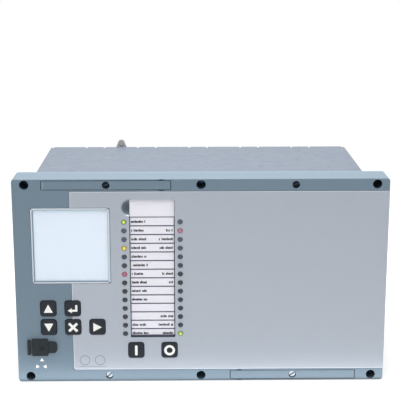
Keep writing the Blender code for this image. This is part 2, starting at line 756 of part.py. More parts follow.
def make_lamp_guides():
    """A clear bar behind the front for each column, with a round lens through each hole."""
    front = FRONT_FACE + SEAT_GAP
    for side, x in LAMP_COLUMNS.items():
        heights = lamp_heights()
        reach = ROW_PITCH / 2
        shape = bmesh.new()
        low = (x - LAMP_BAR_WIDTH / 2, front, heights[-1] - reach)
        high = (x + LAMP_BAR_WIDTH / 2, front + LAMP_BAR_THICKNESS, heights[0] + reach)
        add_box(shape, low, high, LAMP_BAR_CORNER, segments=2)
        guide = piece(f"lamp_guide_{side}", shape, material("lamp_lens", (0.06, 0.07, 0.08), 0.2))
        stems = bmesh.new()
        for z in heights:
            add_rod(stems, (x, z), LAMP_RADIUS, -LAMP_PROUD, front + LAMP_BAR_THICKNESS / 2, sides=10)
        rims = [edge for edge in stems.edges if all(corner.co.y < SEAT_GAP for corner in edge.verts)]
        bmesh.ops.bevel(stems, geom=rims, offset=LAMP_PROUD, segments=1, profile=0.5, affect="EDGES")
        unite(guide, "stems", stems)


def make_strips():
    """The two designation strips, each held by the cover screw that passes through its middle."""
    for side, z in STRIP_ROWS.items():
        start, end = strip_span(side)
        shape = bmesh.new()
        half = STRIP_HEIGHT / 2
        add_box(shape, (start, 0, z - half), (end, STRIP_THICKNESS, z + half), STRIP_CORNER, segments=2)
        strip = piece(f"strip_{side}", shape, moulded_grey())
        hole = bmesh.new()
        x = (start + end) / 2
        add_rod(hole, (x, z), COVER_HEAD_RADIUS + SCREW_GAP, -SHEET, FRONT_FACE, sides=16)
        cut(strip, "hole", hole)


def turned_mesh(name, profile, paint, slot=0.0, steps=16):
    """A screw or stud turned from a profile of radius and height, with a slot across its top."""
    outline = bmesh.new()
    corners = [outline.verts.new((radius, 0, height)) for radius, height in profile]
    for first, second in zip(corners, corners[1:]):
        outline.edges.new((first, second))
    blank = helper(f"{name}_blank", outline)
    spin = blank.modifiers.new("turn", "SCREW")
    spin.steps = spin.render_steps = steps
    spin.use_merge_vertices = True
    spin.merge_threshold = 0.00005
    if slot:
        top = profile[0][1]
        reach = max(radius for radius, height in profile) + SHEET
        groove = bmesh.new()
        add_box(groove, (-reach, -SLOT_WIDTH / 2, top - slot), (reach, SLOT_WIDTH / 2, top + SHEET))
        cut(blank, "slot", groove)
    bpy.context.view_layer.update()
    mesh = bpy.data.meshes.new_from_object(blank.evaluated_get(bpy.context.evaluated_depsgraph_get()))
    mesh.name = name
    mesh.transform(Matrix.Rotation(math.pi / 2, 4, "X"))
    mesh.materials.clear()
    mesh.materials.append(paint)
    for used in [step.object for step in blank.modifiers if step.type == "BOOLEAN"] + [blank]:
        bpy.data.objects.remove(used)
    mesh.shade_smooth()
    mesh.set_sharp_from_angle(angle=math.radians(35))
    return mesh


def screw_profile(head_radius, head_height, shank_radius, length):
    """A cheese head with a soft rim over a plain shank, from the top of the head down."""
    form = SCREW_HEAD_FORM
    return [
        (0, 0),
        (head_radius - form, 0),
        (head_radius, -form),
        (head_radius, -head_height),
        (shank_radius, -head_height),
        (shank_radius, -head_height - length + form),
        (shank_radius - form, -head_height - length),
        (0, -head_height - length),
    ]


def make_screws():
    """Six panel screws deep in their holes and four cover screws, their slots turned by hand."""
    profile = screw_profile(PANEL_HEAD_RADIUS, PANEL_HEAD_HEIGHT, PANEL_SHANK_RADIUS, PANEL_SCREW_LENGTH)
    mesh = turned_mesh("panel_screw", profile, black_steel(), SLOT_DEPTH)
    places = {}
    for number, (x, z) in enumerate(panel_screw_places()):
        turn = math.radians(35 + 52 * number)
        places[f"panel_screw_{number + 1}"] = (x, PANEL_HEAD_DEPTH, z, turn)
    place_copies(mesh, places)

    length = FLANGE_BACK + SHEET - COVER_HEAD_DEPTH - COVER_HEAD_HEIGHT
    profile = screw_profile(COVER_HEAD_RADIUS, COVER_HEAD_HEIGHT, COVER_SHANK_RADIUS, length)
    bright = material("bright_steel", (0.6, 0.6, 0.6), 0.3, 1.0)
    mesh = turned_mesh("cover_screw", profile, bright, SLOT_DEPTH)
    places = {}
    for number, (x, z) in enumerate(cover_screw_places()):
        turn = math.radians(-45 + 10 * number)
        places[f"cover_screw_{number + 1}"] = (x, COVER_HEAD_DEPTH, z, turn)
    place_copies(mesh, places)


def anchor_pegs(radius, start, end):
    shape = bmesh.new()
    x = CAP_LEFT - CAP_GROOVE - ANCHOR_WIDTH / 2
    for side in (-1, 1):
        add_rod(shape, (x, CAP_Z + side * ANCHOR_HEIGHT / 3), radius, start, end, sides=10)
    return shape


def make_port_cap():
    """The rubber cap over the service port, on its hinge line, and the bar that anchors it."""
    low_z = CAP_Z - CAP_HEIGHT / 2
    high_z = CAP_Z + CAP_HEIGHT / 2
    hinge = (HINGE_X, HINGE_Y, CAP_Z)
    shape = bmesh.new()
    right = CAP_LEFT + CAP_WIDTH
    add_box(shape, (CAP_LEFT, -CAP_PROUD, low_z), (right, -SEAT_GAP, high_z), CAP_CORNER, segments=3)
    cap = piece("port_cap", shape, rubber(), hinge)
    tab = bmesh.new()
    half = TAB_HEIGHT / 2
    low = (right - TAB_LENGTH / 2, -SEAT_GAP - TAB_THICKNESS, CAP_Z - half)
    high = (right + TAB_LENGTH, -SEAT_GAP, CAP_Z + half)
    add_box(tab, low, high, TAB_CORNER, segments=6)
    unite(cap, "tab", tab)
    plug = bmesh.new()
    inset = PORT_WALL + SEAT_GAP
    low = (CAP_X - PORT_WIDTH / 2, -CAP_PROUD / 2, CAP_Z - PORT_HEIGHT / 2)
    high = (CAP_X + PORT_WIDTH / 2, CAP_PLUG_DEPTH, CAP_Z + PORT_HEIGHT / 2)
    add_box(plug, low, high, CAP_PLUG_CORNER, segments=2)
    unite(cap, "plug", plug)
    relief = bmesh.new()
    low = (CAP_X - PORT_WIDTH / 2 + inset, 0, CAP_Z - PORT_HEIGHT / 2 + inset)
    high = (CAP_X + PORT_WIDTH / 2 - inset, CAP_PLUG_DEPTH + SHEET, CAP_Z + PORT_HEIGHT / 2 - inset)
    add_box(relief, low, high, CAP_PLUG_CORNER, segments=2)
    cut(cap, "relief", relief)

    shape = bmesh.new()
    end = CAP_LEFT - CAP_GROOVE
    low = (end - ANCHOR_WIDTH, -CAP_PROUD, CAP_Z - ANCHOR_HEIGHT / 2)
    add_box(shape, low, (end, -SEAT_GAP, CAP_Z + ANCHOR_HEIGHT / 2), CAP_CORNER, segments=3)
    anchor = piece("port_cap_anchor", shape, rubber())
    unite(anchor, "pegs", anchor_pegs(ANCHOR_PEG_RADIUS, -CAP_PROUD / 2, FRONT_FACE))


def make_service_port():
    """A square data socket with a tongue, its mouth behind the plug of the cap."""
    front = CAP_PLUG_DEPTH + SEAT_GAP
    low = (CAP_X - PORT_WIDTH / 2, front, CAP_Z - PORT_HEIGHT / 2)
    high = (CAP_X + PORT_WIDTH / 2, front + PORT_LENGTH, CAP_Z + PORT_HEIGHT / 2)
    shape = bmesh.new()
    add_box(shape, low, high)
    port = piece("service_port", shape, material("port_shell", (0.6, 0.6, 0.6), 0.3, 1.0))
    mouth = bmesh.new()
    low = (low[0] + PORT_WALL, front - SHEET, low[2] + PORT_WALL)
    high = (high[0] - PORT_WALL, high[1] - PORT_WALL, high[2] - PORT_WALL)
    add_box(mouth, low, high, PORT_CORNER, segments=1)
    cut(port, "mouth", mouth)
    tongue = bmesh.new()
    half = PORT_TONGUE / 2
    low = (CAP_X - half, front + SHEET, CAP_Z - half)
    add_box(tongue, low, (CAP_X + half, front + PORT_LENGTH - PORT_WALL / 2, CAP_Z + half))
    unite(port, "tongue", tongue)


def make_front_board():
    """The board behind the display and the keys, notched for the service port."""
    shape = bmesh.new()
    low_z = PANEL_SCREW_FROM_EDGE + PANEL_HOLE_RADIUS + BOSS_WALL + BOARD_MARGIN / 2
    low = (LEFT + BOARD_MARGIN, BOARD_FRONT, low_z)
    high = (RIGHT - BOARD_MARGIN, BOARD_BACK, FRONT_HEIGHT - low_z)
    add_box(shape, low, high)
    board = piece("front_board", shape, green_board())
    notch = bmesh.new()
    half_width = PORT_WIDTH / 2 + SEAT_GAP
    half_height = PORT_HEIGHT / 2 + SEAT_GAP
    low = (CAP_X - half_width, BOARD_FRONT - SHEET, CAP_Z - half_height)
    high = (CAP_X + half_width, BOARD_BACK + SHEET, CAP_Z + half_height)
    add_box(notch, low, high)
    cut(board, "port", notch)
    chips = bmesh.new()
    for x, z, size in FRONT_CHIPS:
        half = size / 2
        low = (x - half, BOARD_BACK - BOARD_THICKNESS / 2, z - half)
        add_box(chips, low, (x + half, BOARD_BACK + FRONT_CHIP_DEPTH, z + half))
    unite(board, "chips", chips)


def tube(low_y, high_y, inset, radius):
    """A block of the case's cross-section, drawn in by an inset."""
    shape = bmesh.new()
    half = CASE_WIDTH / 2 - inset
    add_box(shape, (-half, low_y, CASE_LOW + inset), (half, high_y, CASE_TOP - inset), radius, segments=4)
    return shape


def make_case():
    """The folded case: a tube with a flange at its front and tongues folded in at its rear."""
    case = piece("case_shell", tube(FLANGE_FRONT, CASE_BACK, 0.0, CASE_BEND), zinc())
    flange = bmesh.new()
    low = (LEFT + FLANGE_INSET, FLANGE_FRONT, FLANGE_INSET)
    high = (RIGHT - FLANGE_INSET, FLANGE_BACK, FRONT_HEIGHT - FLANGE_INSET)
    add_box(flange, low, high, FRONT_CORNER, segments=3)
    unite(case, "flange", flange)
    bore = tube(FLANGE_FRONT - SHEET, CASE_BACK - SHEET, SHEET, CASE_BEND - SHEET)
    cut(case, "bore", bore)

    mouth = bmesh.new()
    half = CASE_WIDTH / 2 - SHEET
    low = (-half, CASE_BACK - 2 * SHEET, CASE_LOW + TONGUE_DROP)
    add_box(mouth, low, (half, CASE_BACK + SHEET, CASE_TOP - TONGUE_DROP))
    cut(case, "rear_mouth", mouth)

    gaps = bmesh.new()
    edges = [-half] + [x + side * TONGUE_WIDTH / 2 for x in MODULE_X for side in (-1, 1)] + [half]
    for start, end in zip(edges[::2], edges[1::2]):
        for low_z, high_z in rear_bands(SHEET):
            add_box(gaps, (start, CASE_BACK - 2 * SHEET, low_z), (end, CASE_BACK + SHEET, high_z))
    cut(case, "between_tongues", gaps)

    reliefs = bmesh.new()
    for x in MODULE_X:
        for side in (-1, 1):
            middle = x + side * (TONGUE_WIDTH + RELIEF_WIDTH) / 2
            for low_z, high_z in rear_bands(-SHEET):
                low = (middle - RELIEF_WIDTH / 2, CASE_BACK - RELIEF_DEPTH, low_z)
                add_box(reliefs, low, (middle + RELIEF_WIDTH / 2, CASE_BACK + SHEET, high_z))
    cut(case, "bend_reliefs", reliefs)
    start = FLANGE_FRONT - SHEET
    cut(case, "screw_holes", shank_bores(start, start))


def rear_bands(inset):
    """The bands of the rear face that the tongues fold into, below the top and above the base."""
    deep = TONGUE_DROP + SHEET
    return [(CASE_LOW + inset, CASE_LOW + deep), (CASE_TOP - deep, CASE_TOP - inset)]


def make_rear_plate():
    """The rear plate, opened for six terminal blocks."""
    half = CASE_WIDTH / 2 - REAR_MARGIN
    shape = bmesh.new()
    low = (-half, REAR_FRONT, CASE_LOW + REAR_MARGIN)
    add_box(shape, low, (half, REAR_BACK, CASE_TOP - REAR_MARGIN), REAR_CORNER, segments=2)
    plate = piece("rear_plate", shape, zinc())
    windows = bmesh.new()
    half_width = BLOCK_WIDTH / 2 + SEAT_GAP
    half_height = BLOCK_HEIGHT / 2 + SEAT_GAP
    for x in MODULE_X:
        low = (x - half_width, REAR_FRONT - SHEET, MIDDLE - half_height)
        add_box(windows, low, (x + half_width, REAR_BACK + SHEET, MIDDLE + half_height))
    cut(plate, "windows", windows)
    heads = bmesh.new()
    for x in MODULE_X:
        for z in (CASE_LOW + REAR_SCREW_FROM_EDGE, CASE_TOP - REAR_SCREW_FROM_EDGE):
            if x == MODULE_X[1] and z > MIDDLE:
                continue
            add_rod(heads, (x, z), REAR_SCREW_RADIUS, REAR_BACK - SHEET / 2, REAR_BACK + SHEET, sides=8)
    unite(plate, "screw_heads", heads)


def make_terminal_blocks():
    """Six blocks, each with two columns of screw wells."""
    for number, x in enumerate(MODULE_X):
        shape = bmesh.new()
        low = (x - BLOCK_WIDTH / 2, BLOCK_FRONT, MIDDLE - BLOCK_HEIGHT / 2)
        high = (x + BLOCK_WIDTH / 2, BLOCK_BACK, MIDDLE + BLOCK_HEIGHT / 2)
        add_box(shape, low, high)
        rim = [edge for edge in shape.edges if all(corner.co.y > high[1] - 1e-6 for corner in edge.verts)]
        bmesh.ops.bevel(shape, geom=rim, offset=BLOCK_EDGE, segments=2, profile=0.5, affect="EDGES")
        block = piece(f"terminal_block_{number + 1}", shape, material("terminal_black", (0.02, 0.02, 0.02), 0.5))
        wells = bmesh.new()
        for column in (-1, 1):
            for row in range(WELLS):
                z = MIDDLE + (row - (WELLS - 1) / 2) * WELL_PITCH
                well_x = x + column * BLOCK_WIDTH / 4
                add_rod(wells, (well_x, z), WELL_RADIUS, BLOCK_BACK - WELL_DEPTH, BLOCK_BACK + SHEET, sides=8)
        cut(block, "wells", wells)


def earth_outline(stud_z):
    """The outline of the earth tab: upright up to the case's top, then drawn in to a round end."""
    half = EARTH_FOOT_WIDTH / 2
    low = CASE_TOP - EARTH_FOOT
    outline = [(EARTH_X - half, CASE_TOP), (EARTH_X - half, low), (EARTH_X + half, low), (EARTH_X + half, CASE_TOP)]
    for step in range(13):
        turn = math.pi * step / 12
        outline.append((EARTH_X + EARTH_RADIUS * math.cos(turn), stud_z + EARTH_RADIUS * math.sin(turn)))
    return outline


def make_earth_terminal():
    """A round-ended tab on the rear plate, with a clinched stud and its nut."""
    top = CASE_TOP + EARTH_RISE
    stud_z = top - EARTH_RADIUS
    front = REAR_BACK + SEAT_GAP
    shape = bmesh.new()
    face = shape.faces.new([shape.verts.new((x, front, z)) for x, z in earth_outline(stud_z)])
    grown = bmesh.ops.extrude_face_region(shape, geom=[face])["geom"]
    corners = [item for item in grown if isinstance(item, bmesh.types.BMVert)]
    bmesh.ops.translate(shape, verts=corners, vec=(0, EARTH_SHEET, 0))
    tab = piece("earth_tab", shape, zinc())
    hole = bmesh.new()
    add_rod(hole, (EARTH_X, stud_z), EARTH_STUD_RADIUS + SEAT_GAP, front - SHEET, front + 2 * EARTH_SHEET)
    cut(tab, "hole", hole)

    nut_front = front + EARTH_SHEET + SEAT_GAP
    profile = [
        (0, EARTH_HEAD_HEIGHT),
        (EARTH_HEAD_RADIUS, EARTH_HEAD_HEIGHT),
        (EARTH_HEAD_RADIUS, 0),
        (EARTH_STUD_RADIUS, 0),
        (EARTH_STUD_RADIUS, -EARTH_STUD_LENGTH),
        (0, -EARTH_STUD_LENGTH),
    ]
    brass = material("plated_brass", (0.7, 0.68, 0.6), 0.3, 1.0)
    mesh = turned_mesh("earth_stud", profile, brass)
    place_copies(mesh, {"earth_stud": (EARTH_X, front - SEAT_GAP / 2, stud_z, 0)})
    shape = bmesh.new()
    corner = EARTH_NUT_FLATS / math.sqrt(3)
    add_rod(shape, (EARTH_X, stud_z), corner, nut_front, nut_front + EARTH_NUT_HEIGHT, sides=6)
    nut = piece("earth_nut", shape, brass)
    bore = bmesh.new()
    end = nut_front + EARTH_NUT_HEIGHT + SHEET
    add_rod(bore, (EARTH_X, stud_z), EARTH_STUD_RADIUS + SEAT_GAP, nut_front - SHEET, end)
    cut(nut, "bore", bore)


def module_board_x(slot):
    """A module's board stands behind its terminal block, near the block's left edge."""
    return MODULE_X[slot] - BLOCK_WIDTH / 2 + BOARD_FROM_BLOCK_EDGE


def make_bus_board():
    """The board across the front of the case, with a socket for each module."""
    inset = SHEET + BUS_MARGIN
    half = CASE_WIDTH / 2 - inset
    front = FLANGE_BACK + BUS_FROM_FLANGE
    shape = bmesh.new()
    low = (-half, front, CASE_LOW + inset)
    add_box(shape, low, (half, front + BOARD_THICKNESS, CASE_TOP - inset))
    board = piece("bus_board", shape, green_board())
    sockets = bmesh.new()
    for slot in range(MODULES):
        x = module_board_x(slot)
        low = (x - SOCKET_WIDTH / 2, front + BOARD_THICKNESS / 2, MIDDLE - SOCKET_HEIGHT / 2)
        high = (x + SOCKET_WIDTH / 2, front + BOARD_THICKNESS + SOCKET_DEPTH, MIDDLE + SOCKET_HEIGHT / 2)
        add_box(sockets, low, high)
    unite(board, "sockets", sockets)


def make_guides():
    """The two grooved rails that hold the module boards above and below."""
    half = CASE_WIDTH / 2 - SHEET - CASE_BEND
    front = FLANGE_BACK + GUIDE_FROM_FRONT
    back = BLOCK_FRONT - GUIDE_FROM_BLOCKS
    low_z = CASE_LOW + SHEET + SEAT_GAP
    spans = {"lower": (low_z, low_z + GUIDE_THICKNESS)}
    high_z = CASE_TOP - SHEET - SEAT_GAP
    spans["upper"] = (high_z - GUIDE_THICKNESS, high_z)
    for side, (low, high) in spans.items():
        shape = bmesh.new()
        add_box(shape, (-half, front, low), (half, back, high))
        guide = piece(f"board_guide_{side}", shape, material("guide_plastic", (0.1, 0.1, 0.1), 0.5))
        grooves = bmesh.new()
        for slot in range(MODULES):
            x = module_board_x(slot)
            start, end = (high - GUIDE_GROOVE, high + SHEET) if side == "lower" else (low - SHEET, low + GUIDE_GROOVE)
            reach = BOARD_THICKNESS / 2 + SEAT_GAP
            add_box(grooves, (x - reach, front - SHEET, start), (x + reach, back + SHEET, end))
        cut(guide, "grooves", grooves)


def add_relays(shape, x, front):
    """Two rows of sealed output relays."""
    for column in range(RELAY_COLUMNS):
        for row in (-1, 1):
            y = front + (column + 1) * RELAY_PITCH
            z = MIDDLE + row * RELAYS_FROM_MIDDLE
            low = (x, y, z - RELAY_HEIGHT / 2)
            add_box(shape, low, (x + RELAY_DEPTH, y + RELAY_LENGTH, z + RELAY_HEIGHT / 2))


def transformer_places(front):
    """Where the measuring transformers of a board stand, along the board and in height."""
    low = MIDDLE - (TRANSFORMERS - 1) / 2 * TRANSFORMER_PITCH
    return [(front + TRANSFORMER_FROM_FRONT, low + place * TRANSFORMER_PITCH) for place in range(TRANSFORMERS)]


def add_cores(shape, x, front):
    """The square cores of the measuring transformers."""
    for y, z in transformer_places(front):
        low = (x, y - TRANSFORMER_LENGTH / 2, z - TRANSFORMER_HEIGHT / 2)
        high = (x + CORE_DEPTH, y + TRANSFORMER_LENGTH / 2, z + TRANSFORMER_HEIGHT / 2)
        add_box(shape, low, high)


def add_windings(shape, x, front):
    """The round windings that stand on the cores."""
    for y, z in transformer_places(front):
        start = x + CORE_DEPTH - SHEET
        add_rod(shape, (y, z), WINDING_RADIUS, start, start + WINDING_DEPTH, axis=0, sides=16)


def add_power_parts(shape, x, front):
    """The supply's transformer, its heat sink above it and two smoothing capacitors below."""
    start = front + PARTS_FROM_FRONT
    half = SUPPLY_CORE / 2
    add_box(shape, (x, start, MIDDLE - half), (x + SUPPLY_DEPTH, start + SUPPLY_CORE, MIDDLE + half))
    for fin in range(FINS):
        z = MIDDLE + half + (fin + 2) * FIN_PITCH
        add_box(shape, (x, start, z), (x + FIN_DEPTH, start + FIN_LENGTH, z + FIN_THICKNESS))
    for place in range(2):
        y = start + SUPPLY_CORE + CAPACITOR_RADIUS + place * CAPACITOR_PITCH
        z = MIDDLE - half - CAPACITOR_PITCH
        add_rod(shape, (y, z), CAPACITOR_RADIUS, x, x + CAPACITOR_DEPTH, axis=0, sides=16)


def add_processor(shape, x, front):
    """The processor under its shield, with a memory chip above and one below."""
    start = front + 2 * PARTS_FROM_FRONT
    half = SHIELD_SIZE / 2
    add_box(shape, (x, start, MIDDLE - half), (x + SHIELD_DEPTH, start + SHIELD_SIZE, MIDDLE + half))
    for side in (-1, 1):
        z = MIDDLE + side * SHIELD_SIZE
        low = (x, start + CHIP_LENGTH / 2, z - CHIP_HEIGHT / 2)
        add_box(shape, low, (x + CHIP_DEPTH, start + CHIP_LENGTH * 1.5, z + CHIP_HEIGHT / 2))


def make_module_boards():
    """A board behind each terminal block, plugged into the bus board and held in both guides."""
    fittings = {
        "measuring_board_left": (add_cores, add_windings),
        "measuring_board_right": (add_cores, add_windings),
        "relay_board_left": (add_relays,),
        "relay_board_right": (add_relays,),
        "processor_board": (add_processor,),
        "power_board": (add_power_parts,),
    }
    reach = CASE_HEIGHT / 2 - SHEET - GUIDE_THICKNESS - SEAT_GAP + GUIDE_GROOVE - SEAT_GAP
    for slot, (name, layers) in enumerate(fittings.items()):
        x = module_board_x(slot)
        shape = bmesh.new()
        low = (x - BOARD_THICKNESS / 2, MODULE_BOARD_START, MIDDLE - reach)
        add_box(shape, low, (x + BOARD_THICKNESS / 2, MODULE_BOARD_END, MIDDLE + reach))
        board = piece(name, shape, green_board())
        for layer in layers:
            parts = bmesh.new()
            layer(parts, x + BOARD_THICKNESS / 4, MODULE_BOARD_START)
            unite(board, layer.__name__, parts)


make_fascia()
make_front_plate()
make_display()
make_keys()
make_mat("keypad_mat_menu", ["key_up", "key_enter", "key_down", "key_cancel", "key_right"])
make_mat("keypad_mat_breaker", ["key_close", "key_open"])
make_legend_card()
make_lamp_guides()
make_strips()
make_screws()
make_port_cap()
make_service_port()
make_front_board()
make_case()
make_rear_plate()
make_terminal_blocks()
make_earth_terminal()
make_bus_board()
make_guides()
make_module_boards()
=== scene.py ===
"""Dresses a flush-mounting protection relay: finishes, printed signs, small fittings and the stage."""

import math

import bpy
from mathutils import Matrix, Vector


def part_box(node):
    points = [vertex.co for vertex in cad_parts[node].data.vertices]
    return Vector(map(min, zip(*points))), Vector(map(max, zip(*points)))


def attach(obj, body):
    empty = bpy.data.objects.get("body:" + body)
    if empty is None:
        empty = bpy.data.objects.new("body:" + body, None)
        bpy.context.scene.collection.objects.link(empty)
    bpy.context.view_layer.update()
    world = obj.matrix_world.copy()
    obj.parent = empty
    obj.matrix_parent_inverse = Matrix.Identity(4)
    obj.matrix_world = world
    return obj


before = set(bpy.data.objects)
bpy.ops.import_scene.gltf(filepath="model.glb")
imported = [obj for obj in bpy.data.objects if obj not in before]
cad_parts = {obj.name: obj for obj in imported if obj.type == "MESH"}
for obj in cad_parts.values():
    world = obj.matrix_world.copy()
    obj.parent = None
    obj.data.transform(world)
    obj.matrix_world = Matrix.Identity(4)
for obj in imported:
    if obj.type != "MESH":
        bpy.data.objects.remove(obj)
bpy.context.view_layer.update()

bl_info = {
    "name": "Protection Relay Dresser",
    "version": (1, 0, 0),
    "blender": (4, 5, 0),
    "location": "View3D > Sidebar > Relay",
    "description": "Finishes, signs, lamps and stage for a flush-mounting protection relay",
    "category": "Object",
}

MM = 0.001
ROOT_BODY = "relay"
QUARTER_TURN = math.radians(90)
WHITE = (1.0, 1.0, 1.0, 1.0)
GREY = (0.5, 0.5, 0.5, 1.0)
LINE_RELIEF = 0.06 * MM
GAP_RELIEF = 0.05 * MM
PRINT_GRAIN_DEPTH = 0.000004
NODE_SETTINGS = {"operation", "data_type", "feature", "interpolation_type", "use_clamp"}


def mm(*values):
    """A place or a size given in millimetres."""
    return Vector(values) * MM


def screen(red, green, blue):
    """A colour given as it looks on a screen, from 0 to 255, as linear light."""
    linear = []
    for value in (red, green, blue):
        share = value / 255
        linear.append(share / 12.92 if share <= 0.04045 else ((share + 0.055) / 1.055) ** 2.4)
    return tuple(linear)


def colour_setting(name, description, default):
    return bpy.props.FloatVectorProperty(
        name=name, description=description, subtype="COLOR", size=3, min=0.0, max=1.0, default=default
    )


def length_setting(name, description, millimetres):
    return bpy.props.FloatProperty(
        name=name, description=description, subtype="DISTANCE", unit="LENGTH", min=0.0, precision=5,
        default=millimetres * MM,
    )


def angle_setting(name, description, degrees):
    return bpy.props.FloatProperty(
        name=name, description=description, subtype="ANGLE", unit="ROTATION", default=math.radians(degrees)
    )


def light_setting(name, description, default, unit="NONE"):
    return bpy.props.FloatProperty(name=name, description=description, unit=unit, min=0.0, default=default)


class RelayColours(bpy.types.PropertyGroup):
    """The colours of the relay's finishes."""

    housing: colour_setting("Housing", "Moulded front housing", screen(109, 129, 144))
    faint: colour_setting("Faint print", "Grey print on the silver plate", screen(128, 134, 148))
    # Painted highlight: the colour of the bright lines along the plate's edges and the display frame's outer
    # edge
    bright_edge: colour_setting("Bright edge", "Edge of the silver plate", screen(212, 219, 228))
    silver: colour_setting("Silver plate", "Lacquered front plate", screen(168, 175, 185))
    bezel: colour_setting("Display frame", "Satin frame round the display", screen(168, 186, 198))
    window: colour_setting("Window", "Blank display behind its window", screen(226, 238, 250))
    card: colour_setting("Card", "Paper of the legend card", screen(240, 239, 248))
    ink: colour_setting("Ink", "Print on the card", screen(20, 20, 28))
    # Also the colour of the painted shade at the foot and down the sides of the card
    rule: colour_setting("Rule", "Lines between the rows of the card", screen(74, 78, 94))
    key: colour_setting("Key", "Dark keys", screen(36, 42, 48))
    sign: colour_setting("Sign", "White signs on the keys", screen(246, 246, 242))
    rubber: colour_setting("Rubber", "Cap of the service port", screen(38, 44, 47))
    zinc: colour_setting("Zinc", "Galvanised sheet of the case", screen(116, 126, 140))
    terminal: colour_setting("Terminal", "Terminal blocks", screen(38, 40, 42))
    board: colour_setting("Board", "Circuit boards", screen(30, 92, 58))


class RelayPrint(bpy.types.PropertyGroup):
    """Sizes of the signs, the print and the lenses."""

    arrow_width: length_setting("Arrow width", "Width of the foot of the arrows on the keys", 7.4)
    arrow_height: length_setting("Arrow height", "Height of the arrows on the keys", 7.0)
    cross_size: length_setting("Cross size", "Width of the cross on its key", 8.6)
    bar_height: length_setting("Bar height", "Height of the bar on its key", 8.9)
    ring_radius: length_setting("Ring radius", "Outer radius of the ring on its key", 4.6)
    sign_stroke: length_setting("Sign stroke", "Thickness of the strokes of the signs", 2.2)
    enter_stroke: length_setting("Enter stroke", "Thickness of the strokes of the hooked arrow", 1.8)
    ink_relief: length_setting("Ink relief", "How far print stands on what carries it", 0.08)
    row_pitch: length_setting("Row pitch", "Distance between two rows of the card", 7.52)
    rows: bpy.props.IntProperty(name="Rows", description="Rows of the legend card", min=1, default=14)
    mark_height: length_setting("Mark height", "Height of the small marks on the card", 2.15)
    faint_ring: length_setting("Ring", "Radius of the two faint rings on the plate", 4.4)
    lens_radius: length_setting("Lens radius", "Radius of a lamp's lens", 2.0)
    lens_rise: length_setting("Lens rise", "Height of a lamp's lens over the plate", 0.9)


class RelayStage(bpy.types.PropertyGroup):
    """The camera and the light."""

    camera_place: bpy.props.FloatVectorProperty(
        name="Camera place", description="Where the camera stands", subtype="TRANSLATION", unit="LENGTH",
        default=(-0.0143, -0.9824, 0.3738),
    )
    camera_pitch: angle_setting("Camera pitch", "How far the camera looks down", 13.67)
    camera_turn: angle_setting("Camera turn", "How far the camera turns to the right", 0.87)
    lens: bpy.props.FloatProperty(
        name="Lens", description="Focal length in millimetres", min=10.0, default=99.3
    )
    sky: light_setting("Sky", "Strength of the even light from all round", 0.44)
    key_light: light_setting("Key light", "Power of the overhead lamp", 15.0, "POWER")
    low_light: light_setting("Low light", "Power of the strip on the floor before the relay", 0.054, "POWER")
    floor: light_setting("Floor", "Brightness of the floor's own colour", 0.82)


def settings():
    scene = bpy.context.scene
    return scene.relay_colours, scene.relay_print, scene.relay_stage


# Places taken from the frame


def corners(node):
    low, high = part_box(node)
    return Vector(low), Vector(high)


def middle(node):
    low, high = corners(node)
    return (low + high) / 2


def front_plane():
    """The depth of the silver plate's face."""
    return corners("front_plate")[0].y


def row_heights():
    """The heights of the lamp rows, from the top row down."""
    sizes = settings()[1]
    highest = middle("lamp_guide_left").z + sizes.row_pitch * (sizes.rows - 1) / 2
    return [highest - row * sizes.row_pitch for row in range(sizes.rows)]


# Nodes


def put(node, socket, value):
    """Sets a node's input to a value, or feeds it from an output or from another node's first output."""
    if isinstance(value, bpy.types.Node):
        value = value.outputs[0]
    if isinstance(value, bpy.types.NodeSocket):
        node.id_data.links.new(value, node.inputs[socket])
    else:
        node.inputs[socket].default_value = value


def fill(node, values):
    """Gives a node its settings, and then its named inputs, some of which depend on them."""
    for key in sorted(values, key=lambda key: key not in NODE_SETTINGS):
        if key in NODE_SETTINGS:
            setattr(node, key, values[key])
        else:
            put(node, key.replace("_", " ").title(), values[key])
    return node


def add_node(tree, kind, *inputs, **values):
    """A node of one kind, with named values and with its first inputs in order."""
    node = fill(tree.nodes.new(f"ShaderNode{kind}"), values)
    for number, value in enumerate(inputs):
        if value is not None:
            put(node, number, value)
    return node


def object_place(tree):
    """The coordinates on the piece itself."""
    return tree.nodes.new("ShaderNodeTexCoord").outputs["Object"]


def toned(tree, colour, tone):
    """A colour made deeper or brighter by a factor."""
    return add_node(tree, "VectorMath", colour, scale=tone, operation="SCALE")


# Shared effects


def new_group(name, inputs, outputs):
    """A node group with named sockets, what enters it and the node that its results go to."""
    group = bpy.data.node_groups.new(name, "ShaderNodeTree")
    for label, value in inputs.items():
        kind = "Float" if isinstance(value, float) else {3: "Vector", 4: "Color"}[len(value)]
        socket = group.interface.new_socket(label, in_out="INPUT", socket_type=f"NodeSocket{kind}")
        socket.default_value = value
    for label in outputs:
        kind = "Color" if label == "Colour" else "Float"
        group.interface.new_socket(label, in_out="OUTPUT", socket_type=f"NodeSocket{kind}")
    return group, group.nodes.new("NodeGroupInput").outputs, group.nodes.new("NodeGroupOutput")


def build_grain():
    """Fine spark-eroded grain, as moulded plastic and rubber have, with slow swells under it."""
    group, given, leave = new_group("fine_grain", {"Scale": 2500.0, "Swell": 0.2}, ["Height"])
    place = object_place(group)
    fine = add_node(group, "TexNoise", place, scale=given["Scale"], detail=2.0, roughness=0.6)
    slow = add_node(group, "TexNoise", place, scale=60.0, detail=2.0, roughness=0.5)
    put(leave, "Height", add_node(group, "Mix", given["Swell"], None, fine, slow, data_type="FLOAT"))


